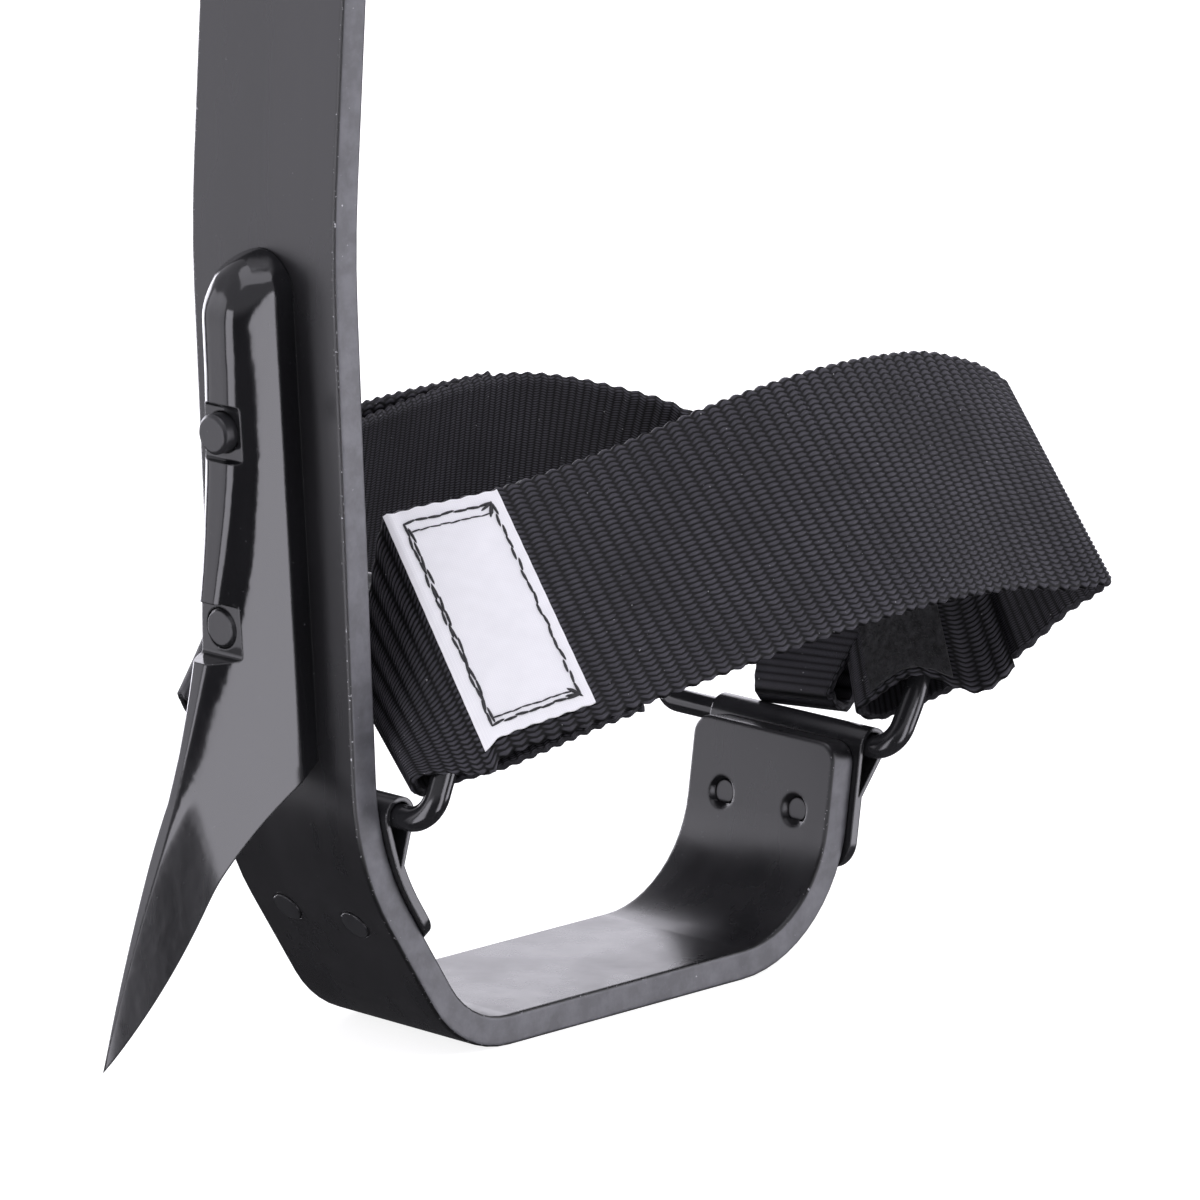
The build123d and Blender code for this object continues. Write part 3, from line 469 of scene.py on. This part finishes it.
def webbing(name, line, first, last, coarse, cells, made):
    """A closed piece of webbing from one row to another, coarse on one face and fine on the other.

    The cells are the columns of the coarse and the fine face.
    """
    rows = line["rows"][first:last]
    scallop = 1 + SCALLOP * np.cos(2 * pi * rows / RIB_PITCH)
    faces, flats, grids, start = [], [], [], 0
    for side in (1, -1):
        width = cells[0] if side == coarse else cells[1]
        columns = np.linspace(-1, 1, width)
        down, over = np.meshgrid(rows, columns * WEB_WIDTH / 2, indexing="ij")
        rim = np.clip((np.abs(over) - WEB_WIDTH / 2 + SELVEDGE) / SELVEDGE, 0, 1)
        round_off = np.sqrt(1 - rim ** 2)
        if side == coarse:
            relief = COARSE_RELIEF * ovals(down, over)
            flat = np.stack([down.ravel(), over.ravel()], 1)
        else:
            relief = FINE_RELIEF + FINE_RIBS * np.cos(2 * pi * down / RIB_PITCH)
            flat = np.stack([down.ravel(), over.ravel()], 1) * FINE_SCALE
        height = side * (WEB_CORE + relief) * round_off
        spread = columns[None, :] * line["half"][first:last] * scallop[:, None]
        spots = line["centre"][first:last, None, :] + line["across"][first:last, None, :] * spread[..., None]
        faces.append((spots + line["normal"][first:last, None, :] * height[..., None]).reshape(-1, 3))
        flats.append(flat)
        grids.append(start + np.arange(len(rows) * width).reshape(len(rows), width))
        start += len(rows) * width
    top, under = grids
    under[:, 0], under[:, -1] = top[:, 0], top[:, -1]

    def quads(grid):
        return np.stack([grid[:-1, :-1], grid[1:, :-1], grid[1:, 1:], grid[:-1, 1:]], -1).reshape(-1, 4)

    loops = quads(top).tolist() + quads(under)[:, ::-1].tolist()
    for row, flip in ((0, 1), (-1, -1)):
        rim_loop = top[row].tolist() + under[row, -2:0:-1].tolist()
        loops.append(rim_loop[::flip])
    vertices, flat = np.vstack(faces) * MM, np.vstack(flats) * MM
    used = np.unique(np.concatenate([grid.ravel() for grid in grids]))
    fresh = np.full(len(vertices), -1)
    fresh[used] = np.arange(len(used))
    mesh = bpy.data.meshes.new(name)
    mesh.from_pydata(vertices[used].tolist(), [], [fresh[loop].tolist() for loop in loops])
    smooth = np.ones(len(mesh.polygons), bool)
    smooth[-2:] = False
    mesh.polygons.foreach_set("use_smooth", smooth)
    corners = np.zeros(len(mesh.loops), np.int32)
    mesh.loops.foreach_get("vertex_index", corners)
    mesh.uv_layers.new(name="weave").data.foreach_set("uv", flat[used][corners].astype(np.float32).ravel())
    mesh.materials.append(made)
    piece = bpy.data.objects.new(name, mesh)
    bpy.context.collection.objects.link(piece)
    return piece


weave, weave_in, weave_out = effect("weave", {"Place": "Vector"}, {"Height": "Float"})
cloth_x, cloth_y, _ = node(weave, "ShaderNodeSeparateXYZ", {0: weave_in["Place"]}).outputs
rib_place = calc(weave, "DIVIDE", cloth_x, RIB_PITCH * MM)
rib_before = calc(weave, "FLOOR", rib_place)
swells = []
for rib_number in (rib_before, calc(weave, "ADD", rib_before, 1.0)):
    rib_across = calc(weave, "DIVIDE", calc(weave, "SUBTRACT", rib_place, rib_number), OVAL_REACH)
    stagger = calc(weave, "MULTIPLY", calc(weave, "MODULO", rib_number, 2.0), 0.5)
    end_place = calc(weave, "MULTIPLY_ADD", cloth_y, 1 / (END_PITCH * MM), stagger)
    from_end = calc(weave, "SUBTRACT", end_place, calc(weave, "ROUND", end_place))
    end_across = calc(weave, "MULTIPLY", from_end, 1 / OVAL_HALF)
    squares = calc(weave, "ADD", calc(weave, "POWER", rib_across, 2.0), calc(weave, "POWER", end_across, 2.0))
    swells.append(calc(weave, "MAXIMUM", calc(weave, "SUBTRACT", 1.0, squares), 0.0))
groove = ranged(weave, calc(weave, "ABSOLUTE", calc(weave, "SUBTRACT", *swells)), 0.0, 0.3, 0.3, 1.0)
crowned = calc(weave, "SQRT", calc(weave, "MAXIMUM", *swells))
weave.links.new(calc(weave, "MULTIPLY", crowned, groove), weave_out["Height"])

web_finish, web_tree, web_shader = finish("webbing")
cloth_place = node(web_tree, "ShaderNodeUVMap", uv_map="weave").outputs["UV"]
thread_height = node(web_tree, "ShaderNodeGroup", {"Place": cloth_place}, node_tree=weave).outputs["Height"]
spun_out = node(web_tree, "ShaderNodeMapping", {"Vector": cloth_place, "Scale": (900.0, 9000.0, 1.0)})
fibre = noise(web_tree, spun_out.outputs["Vector"], 1.0, 3.0)
web_spot = node(web_tree, "ShaderNodeTexCoord").outputs["Object"]
faded = noise(web_tree, web_spot, 90.0, 3.0)
lint = noise(web_tree, web_spot, 1500.0, 1.0)
# Painted shade: the ramp darkens the weave to near black where it is low, in the crevices and grooves between
# the ovals, and keeps the crowns lighter.
crevice_shaded_thread = node(web_tree, "ShaderNodeValToRGB", {"Fac": thread_height})
crevice_shaded_thread.color_ramp.elements[0].color = (0.0012, 0.0012, 0.0015, 1)
crevice_shaded_thread.color_ramp.elements[1].color = (0.043, 0.0416, 0.05, 1)
for stop, tone in ((0.38, 0.0022), (0.64, 0.022), (0.85, 0.04)):
    crevice_shaded_thread.color_ramp.elements.new(stop).color = (tone, tone * 0.97, tone * 1.17, 1)
spun = tinted(web_tree, 1.0, crevice_shaded_thread.outputs["Color"], ranged(web_tree, fibre, 0.3, 0.7, 0.7, 1.3), "MULTIPLY")
dyed = tinted(web_tree, 1.0, spun, ranged(web_tree, faded, 0.3, 0.7, 0.8, 1.2), "MULTIPLY")
linted = tinted(web_tree, ranged(web_tree, lint, 0.78, 0.82, 0.0, 0.7), dyed, (0.34, 0.34, 0.35, 1))
web_tree.links.new(linted, web_shader.inputs["Base Color"])
raised = calc(web_tree, "MULTIPLY_ADD", fibre, 0.12, thread_height)
twist = node(web_tree, "ShaderNodeBump", {"Strength": 0.2, "Distance": 0.0002, "Height": raised})
web_tree.links.new(twist.outputs["Normal"], web_shader.inputs["Normal"])
web_shader.inputs["Roughness"].default_value = 0.55
web_shader.inputs["Specular IOR Level"].default_value = 0.22
web_shader.inputs["Sheen Weight"].default_value = 0.03
web_shader.inputs["Sheen Roughness"].default_value = 0.4

heel_line = strap_line(
    laid([
        (0.760, 49.5, 33.2, (0.00, -0.12, 0.99)),
        (0.480, 49.5, 30.0, (0.05, -0.12, 0.99)),
        (0.205, 44.5, 25.5, (0.12, -0.15, 0.98)),
        (0.090, 33.5, 26.5, (0.10, -0.08, 0.99)),
    ])
    + folded(eyes[0], 22, 3, 1, 75, 1.5, 22, 20.5, -1, 0.5)
    + laid([
        (0.140, 34.5, 24.0, (0.20, -0.18, 0.96)),
        (0.230, 41.5, 23.5, (0.12, -0.15, 0.98)),
        (0.480, 46.8, 28.5, (0.05, -0.12, 0.99)),
        (0.780, 46.9, 33.2, (0.00, -0.12, 0.99)),
        (0.980, 40.0, 30.0, (0.05, -0.25, 0.97)),
        (1.060, 32.5, 26.0, (0.10, -0.45, 0.89)),
        (1.090, 24.0, 27.5, (0.16, -0.72, 0.67)),
    ])
    + folded(eyes[1], 30, 5, 1, 5, -4.5, 12.5, 7.4, 1)[::-1]
    + laid([
        (1.158, 20.8, 30.6, (0.20, -0.80, 0.55)),
        (1.118, 26.4, 30.6, (0.15, -0.68, 0.72)),
    ])
)
heel_count = len(heel_line["rows"])
SPLIT_ROWS, SWING_REACH = 108, 27.0
heel_middle = heel_count // 2 + SPLIT_ROWS
for name, first, last, ring, cells in (
    ("heel_strap_inner", 0, heel_middle, "inner_ring", (142, 48)),
    ("heel_strap_outer", heel_middle - 1, heel_count, "outer_ring", (189, 95)),
):
    strap = webbing(name, heel_line, first, last, -1, cells, web_finish)
    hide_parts("heel_strap")
    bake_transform(strap)


# Instep strap: the same webbing over the front of the foot. Its outer end turns back in a wide
# bight, goes through the outer D-ring and folds back on itself with hook and pile.
INNER_SWING = ((-0.010, -0.033, 0.074), (-0.047, -0.016, 0.058))
OUTER_SWING = ((0.072, -0.034, 0.066), (0.068, -0.014, 0.046))
instep_line = strap_line(
    laid([
        (0.280, -28.0, 34.5, (0.18, 0.71, 0.68)),
        (0.215, -25.5, 32.0, (0.18, 0.71, 0.68)),
    ])
    + folded(eyes[0], 22, 3, -1, 37, -16, 7, 20.5, 1)[:-1]
    + laid([
        (0.0595, -17.8, 25.9, (0.12, 0.66, 0.74)),
        (0.087, -19.2, 28.9, (0.12, 0.66, 0.74)),
        (0.205, -27.0, 33.5, (0.18, 0.71, 0.68)),
        (0.405, -33.0, 40.0, (0.13, 0.74, 0.66)),
        (0.595, -37.5, 46.0, (0.06, 0.71, 0.71)),
        (0.805, -38.5, 49.5, (0.04, 0.66, 0.75)),
        (1.000, -36.0, 49.5, (0.08, 0.63, 0.77)),
        (1.107, -35.8, 48.0, (0.10, 0.65, 0.75)),
        (1.182, -35.3, 46.7, (0.18, 0.72, 0.67)),
        (1.225, -34.1, 45.1, (0.26, 0.76, 0.59)),
        (1.239, -30.5, 42.2, (0.29, 0.77, 0.57)),
        (1.224, -26.2, 38.4, (0.31, 0.76, 0.57)),
        (1.176, -21.6, 31.8, (0.34, 0.70, 0.63)),
    ])
    + folded(eyes[1], 30, 5, -1, 55, -6.5, 14, 20.5, -1, 0.5)[::-1]
    + laid([
        (1.114, -22.2, 27.6, (0.38, 0.64, 0.67)),
        (1.157, -24.4, 31.2, (0.35, 0.68, 0.64)),
    ])
)
instep_count = len(instep_line["rows"])
instep_middle = instep_count // 2
for name, first, last, ring, swing in (
    ("instep_strap_inner", 0, instep_middle, "inner_ring", INNER_SWING),
    ("instep_strap_outer", instep_middle - 1, instep_count, "outer_ring", OUTER_SWING),
):
    strap = webbing(name, instep_line, first, last, 1, (189, 95), web_finish)
    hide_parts("instep_strap")
    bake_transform(strap)


# Label: a blank patch of white woven tape, sewn to the front run beside the inner ring.
def on_strap(line, along, across, lift):
    """A place on a strap: distance along it, offset across it and height off its middle."""
    row = np.clip(along / ROW_STEP, 0, len(line["rows"]) - 1.001)
    low = np.floor(row).astype(int)
    share = (row - low)[..., None]

    def between(values):
        return values[low] * (1 - share) + values[low + 1] * share

    aside = between(line["across"]) * between(line["half"]) * (across[..., None] / (WEB_WIDTH / 2))
    return (between(line["centre"]) + aside + between(line["normal"]) * lift[..., None]) * MM


def patch(name, start, end, foot, head, lift, thick, cells, made):
    """A piece of cloth laid on the instep strap, between two distances along it."""
    bpy.ops.mesh.primitive_grid_add(x_subdivisions=cells[0], y_subdivisions=cells[1], size=1)
    cloth = bpy.context.object
    cloth.name = name
    flat = np.array([vertex.co for vertex in cloth.data.vertices])
    along = start + (flat[:, 0] + 0.5) * (end - start)
    across = foot + (flat[:, 1] + 0.5) * (head - foot)
    ragged = 0.12 * np.sin(along * 2.3) * (np.abs(flat[:, 1]) > 0.49)
    puckers = 0.05 * np.sin(across * 1.7 + 0.6 * np.sin(along)) * np.sin(along * 0.9)
    spots = on_strap(instep_line, along, across + ragged, lift + puckers)
    for vertex, spot in zip(cloth.data.vertices, spots):
        vertex.co = spot
    corners = [loop.vertex_index for loop in cloth.data.loops]
    flat_places = np.stack([along, across], 1)[corners] * MM
    cloth.data.uv_layers.new(name="cloth").data.foreach_set("uv", flat_places.astype(np.float32).ravel())
    cloth.modifiers.new("thickness", "SOLIDIFY").thickness = thick * MM
    cloth.modifiers["thickness"].offset = 0
    bpy.ops.object.modifier_apply(modifier="thickness")
    bpy.ops.object.mode_set(mode="EDIT")
    bpy.ops.mesh.select_all(action="SELECT")
    bpy.ops.mesh.normals_make_consistent(inside=False)
    bpy.ops.object.mode_set(mode="OBJECT")
    bpy.ops.object.shade_smooth_by_angle(angle=radians(50))
    cloth.data.materials.append(made)
    return cloth


LABEL_ENDS = (61.0, 79.3)
LABEL_EDGES = (-19.4, 21.5)
LABEL_LIFT, LABEL_THICK = 1.12, 0.35
label_finish, label_tree, label_shader = finish("label")
tape_place = node(label_tree, "ShaderNodeUVMap", uv_map="cloth").outputs["UV"]
threads = [
    node(label_tree, "ShaderNodeTexWave", {"Vector": tape_place, "Scale": scale}, bands_direction=way)
    for way, scale in (("X", 900.0), ("Y", 980.0))
]
crossed = calc(label_tree, "MULTIPLY", *(wave.outputs["Fac"] for wave in threads))
grime = ranged(label_tree, noise(label_tree, tape_place, 240.0, 4.0), 0.3, 0.7, 0.97, 1.02)
whites = tinted(label_tree, crossed, (0.84, 0.84, 0.86, 1), (0.92, 0.92, 0.93, 1))
label_tree.links.new(tinted(label_tree, 1.0, whites, grime, "MULTIPLY"), label_shader.inputs["Base Color"])
grain = node(label_tree, "ShaderNodeBump", {"Strength": 0.2, "Distance": 0.00003, "Height": crossed})
label_tree.links.new(grain.outputs["Normal"], label_shader.inputs["Normal"])
label_shader.inputs["Roughness"].default_value = 0.75
label = patch("sewn_label", *LABEL_ENDS, *LABEL_EDGES, LABEL_LIFT, LABEL_THICK, (36, 84), label_finish)
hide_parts("strap_label")
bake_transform(label)


# Label stitching: a border of thick black thread a little inside the label's edge, doubled on the
# side by the ring, with a thin second row along both ends and back-tacks at the far corners.
bpy.ops.mesh.primitive_uv_sphere_add(segments=8, ring_count=6, radius=0.5)
stitch = bpy.context.object
stitch_points = np.array([vertex.co for vertex in stitch.data.vertices])
stitch_faces = [tuple(face.vertices) for face in stitch.data.polygons]
bpy.data.objects.remove(stitch)


def sewn(start, end, pitch, size, wander):
    """Stitches in a row: middle, direction and size of each."""
    start, end = np.array(start), np.array(end)
    count = max(int(round(np.linalg.norm(end - start) / pitch)), 1)
    run = (end - start) / np.linalg.norm(end - start)
    aside = np.array([-run[1], run[0]])
    row = []
    for index in range(count):
        middle = start + (end - start) * (index + 0.5) / count
        sway = wander * sin(index * 2.4 + start[0])
        lean = 0.13 * cos(index * 1.9 + start[1])
        row.append((middle + aside * sway, run + aside * lean, (pitch * 1.16, *size)))
    return row


SEAM, STITCH_LIFT = 2.2, 1.36
low_end, high_end = LABEL_ENDS[0] + SEAM, LABEL_ENDS[1] - SEAM + 0.4
low_edge, high_edge = LABEL_EDGES[0] + SEAM, LABEL_EDGES[1] - SEAM
thick_thread, thin_thread = (0.48, 0.38), (0.28, 0.24)
seams = sewn((low_end, low_edge), (low_end, high_edge), 2.3, (0.52, 0.4), 0.14)
seams += sewn((low_end + 0.55, high_edge - 1), (low_end + 0.4, low_edge + 0.4), 2.6, thick_thread, 0.16)
seams += sewn((low_end, high_edge), (high_end, high_edge), 2.1, thick_thread, 0.1)
seams += sewn((high_end, high_edge), (high_end, low_edge), 2.2, thick_thread, 0.16)
seams += sewn((high_end, low_edge), (low_end, low_edge), 2.1, thick_thread, 0.1)
for edge, inward in ((high_edge, -1.7), (low_edge, 1.0)):
    seams += sewn((low_end + 0.6, edge + inward), (high_end - 0.8, edge + inward), 1.7, thin_thread, 0.05)
    for tack in ((-1.9, 0.4), (-1.3, 1.5), (-0.6, 0.9)):
        seams += sewn((high_end, edge), (high_end + tack[0], edge + inward * tack[1]), 2.2, (0.5, 0.4), 0.0)
vertices, faces = [], []
for middle, run, (length, width, height) in seams:
    run = run / np.linalg.norm(run)
    down, over = stitch_points[:, 0] * length, stitch_points[:, 1] * width
    along = middle[0] + down * run[0] - over * run[1]
    across = middle[1] + down * run[1] + over * run[0]
    faces += [[len(vertices) + corner for corner in face] for face in stitch_faces]
    vertices += on_strap(instep_line, along, across, STITCH_LIFT + stitch_points[:, 2] * height).tolist()
stitching_mesh = bpy.data.meshes.new("label_stitching")
stitching_mesh.from_pydata(vertices, [], faces)
stitching_mesh.polygons.foreach_set("use_smooth", [True] * len(faces))
thread_finish, thread_tree, thread_shader = finish("sewing_thread")
thread_spot = node(thread_tree, "ShaderNodeTexCoord").outputs["Object"]
strands = noise(thread_tree, thread_spot, 2600.0, 2.0)
blacks = tinted(thread_tree, strands, (0.003, 0.003, 0.004, 1), (0.03, 0.03, 0.034, 1))
thread_tree.links.new(blacks, thread_shader.inputs["Base Color"])
ply = node(thread_tree, "ShaderNodeBump", {"Strength": 0.6, "Distance": 0.0001, "Height": strands})
thread_tree.links.new(ply.outputs["Normal"], thread_shader.inputs["Normal"])
thread_shader.inputs["Roughness"].default_value = 0.6
stitching_mesh.materials.append(thread_finish)
stitching = bpy.data.objects.new("label_stitching", stitching_mesh)
bpy.context.collection.objects.link(stitching)
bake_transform(stitching)


# Pile patch: black loop tape on the face of the instep strap's tail, a woven ground with short
# curled fibres.
def drawn(sides, radius, steps):
    """One thin bent stem, drawn up step by step from its foot."""
    bpy.ops.mesh.primitive_circle_add(vertices=sides, radius=radius, fill_type="NGON")
    stem = bpy.context.object
    bpy.ops.object.mode_set(mode="EDIT")
    bpy.ops.mesh.select_all(action="SELECT")
    for step in steps:
        bpy.ops.mesh.extrude_region_move(TRANSFORM_OT_translate={"value": step})
    bpy.ops.mesh.select_all(action="SELECT")
    bpy.ops.mesh.normals_make_consistent(inside=False)
    bpy.ops.object.mode_set(mode="OBJECT")
    points = np.array([vertex.co for vertex in stem.data.vertices])
    faces = [tuple(face.vertices) for face in stem.data.polygons]
    bpy.data.objects.remove(stem)
    return points, faces


def planted(cloth, stem, start, end, foot, head, lift, count, draws, sizes):
    """Copies of a stem all over a patch, joined to it."""
    points, stem_faces = stem
    vertices, faces = [], []
    for _ in range(count):
        along, across, spin, grow = draws.uniform((start, foot, 0, sizes[0]), (end, head, 2 * pi, sizes[1]))
        down = along + grow * (points[:, 0] * cos(spin) - points[:, 1] * sin(spin))
        over = across + grow * (points[:, 0] * sin(spin) + points[:, 1] * cos(spin))
        faces += [[len(vertices) + corner for corner in face] for face in stem_faces]
        vertices += on_strap(instep_line, down, over, lift + np.sign(lift) * grow * points[:, 2]).tolist()
    mesh = bpy.data.meshes.new("stems")
    mesh.from_pydata(vertices, [], faces)
    stems = bpy.data.objects.new("stems", mesh)
    bpy.context.collection.objects.link(stems)
    mesh.materials.append(cloth.data.materials[0])
    bpy.ops.object.select_all(action="DESELECT")
    stems.select_set(True)
    cloth.select_set(True)
    bpy.context.view_layer.objects.active = cloth
    bpy.ops.object.join()
    if lift < 0:
        bpy.ops.object.mode_set(mode="EDIT")
        bpy.ops.mesh.select_all(action="SELECT")
        bpy.ops.mesh.normals_make_consistent(inside=False)
        bpy.ops.object.mode_set(mode="OBJECT")


def fuzzy(name, dark, light):
    """Black nylon fastener tape."""
    made, tree, shader = finish(name)
    mottle = noise(tree, node(tree, "ShaderNodeTexCoord").outputs["Object"], 900.0, 3.0, 0.7)
    blacks = tinted(tree, ranged(tree, mottle, 0.35, 0.7, 0.0, 1.0), dark, light)
    tree.links.new(blacks, shader.inputs["Base Color"])
    nap = node(tree, "ShaderNodeBump", {"Strength": 0.7, "Distance": 0.0002, "Height": mottle})
    tree.links.new(nap.outputs["Normal"], shader.inputs["Normal"])
    shader.inputs["Roughness"].default_value = 0.85
    shader.inputs["Sheen Weight"].default_value = 0.1
    return made


strap_end = instep_line["rows"][-1]
PILE = (strap_end - 25.0, strap_end - 9.0, -20.7, 20.7)
PILE_LIFT, TAPE_THICK, STEM_LIFT = 1.2, 0.5, 1.3
pile_finish = fuzzy("pile", (0.004, 0.004, 0.0045, 1), (0.03, 0.03, 0.033, 1))
pile = patch("pile_tape", *PILE, PILE_LIFT, TAPE_THICK, (32, 82), pile_finish)
curl = drawn(3, 0.05, ((0.05, 0, 0.28), (0.12, 0.03, 0.2), (0.2, 0.08, 0.02), (0.1, 0.1, -0.18)))
planted(pile, curl, *PILE, STEM_LIFT, 1500, np.random.default_rng(5), (0.7, 1.4))
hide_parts("loop_patch")
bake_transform(pile)


# Hook patch: black hook tape on the other face of the tail's end, with small nylon hooks that hold
# on the strap's return.
HOOKS = (strap_end - 7.0, strap_end - 1.0, -20.7, 20.7)
HOOK_LIFT = -1.1
hook_finish = fuzzy("hook_tape", (0.008, 0.008, 0.009, 1), (0.035, 0.035, 0.038, 1))
hooks = patch("hook_tape", *HOOKS, HOOK_LIFT, TAPE_THICK, (12, 82), hook_finish)
barb = drawn(4, 0.09, ((0, 0, 0.3), (0.04, 0, 0.2), (0.14, 0, 0.1), (0.16, 0, -0.08)))
planted(hooks, barb, *HOOKS, -STEM_LIFT, 260, np.random.default_rng(8), (0.9, 1.1))
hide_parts("hook_patch")
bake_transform(hooks)


# Studio: a pale floor, soft panels of light round it and the camera where the photograph was
# taken from, with a long lens.
bpy.ops.mesh.primitive_plane_add(size=7, location=(0, 0, -0.005))
floor = bpy.context.object
floor.name = "floor"
floor.visible_glossy = False
floor_finish, _, floor_shader = finish("floor")
floor_shader.inputs["Base Color"].default_value = (0.5, 0.5, 0.5, 1)
floor_shader.inputs["Roughness"].default_value = 0.8
floor_shader.inputs["Emission Color"].default_value = (1, 1, 1, 1)
floor_shader.inputs["Emission Strength"].default_value = 0.85
floor.data.materials.append(floor_finish)

world = bpy.data.worlds.new("studio")
world.use_nodes = True
sky = world.node_tree
bearing = node(sky, "ShaderNodeTexCoord").outputs["Generated"]
height = node(sky, "ShaderNodeSeparateXYZ", {0: bearing}).outputs["Z"]
sky.links.new(ranged(sky, height, -0.05, 0.3, 0.04, 0.6), sky.nodes["Background"].inputs["Strength"])
sky.nodes["Background"].inputs["Color"].default_value = (1.0, 0.98, 1.07, 1)
bpy.context.scene.world = world
bpy.context.scene.view_settings.view_transform = "Standard"


def panel(name, place, aim, width, height, radiance, shows_only=False):
    """A soft panel of light that faces a point, or one that only shows in glossy paint."""
    lamp = bpy.data.lights.new(name, "AREA")
    lamp.shape = "RECTANGLE"
    lamp.color = (1.0, 0.98, 1.07)
    lamp.size, lamp.size_y, lamp.energy = width, height, radiance * pi * width * height
    made = bpy.data.objects.new(name, lamp)
    bpy.context.collection.objects.link(made)
    made.location = place
    made.visible_camera = False
    made.visible_diffuse = not shows_only
    made.rotation_euler = (Vector(aim) - Vector(place)).to_track_quat("-Z", "Y").to_euler()


panel("top_panel", (-0.2, -0.3, 1.6), (0, 0, 0.1), 1.5, 1.5, 1.8)
panel("right_panel", (0.93, -0.89, 0.1), (0, 0, 0.1), 0.62, 1.2, 4.0)
panel("left_panel", (-0.93, 0.9, 0.1), (0, 0, 0.1), 0.95, 1.2, 1.5)
panel("gaff_panel", (-0.06, -1.3, -0.2), (-0.08, 0, 0.05), 0.6, 1.3, 4.6, True)
panel("edge_panel", (-1.34, 0.02, -0.2), (-0.08, 0, 0.05), 0.8, 1.3, 4.0, True)
panel("rim_panel", (0.05, 1.3, 0.0), (-0.08, 0, 0.05), 0.7, 0.9, 6.0, True)
panel("back_panel", (0.95, 0.92, 0.42), (0, 0, 0.05), 1.1, 0.7, 1.9)

lens = bpy.data.cameras.new("camera")
lens.sensor_width, lens.lens = 36, 248.0
camera = bpy.data.objects.new("camera", lens)
bpy.context.collection.objects.link(camera)
back = Vector((-0.70033, -0.67652, 0.22767)).normalized()
right = Vector((0, 0, 1)).cross(back).normalized()
turned = Matrix.Rotation(radians(0.46), 3, back) @ Matrix((right, back.cross(right), back)).transposed()
camera.matrix_world = Matrix.Translation((-0.92884, -0.90166, 0.3624)) @ turned.to_4x4()
bpy.context.scene.camera = camera
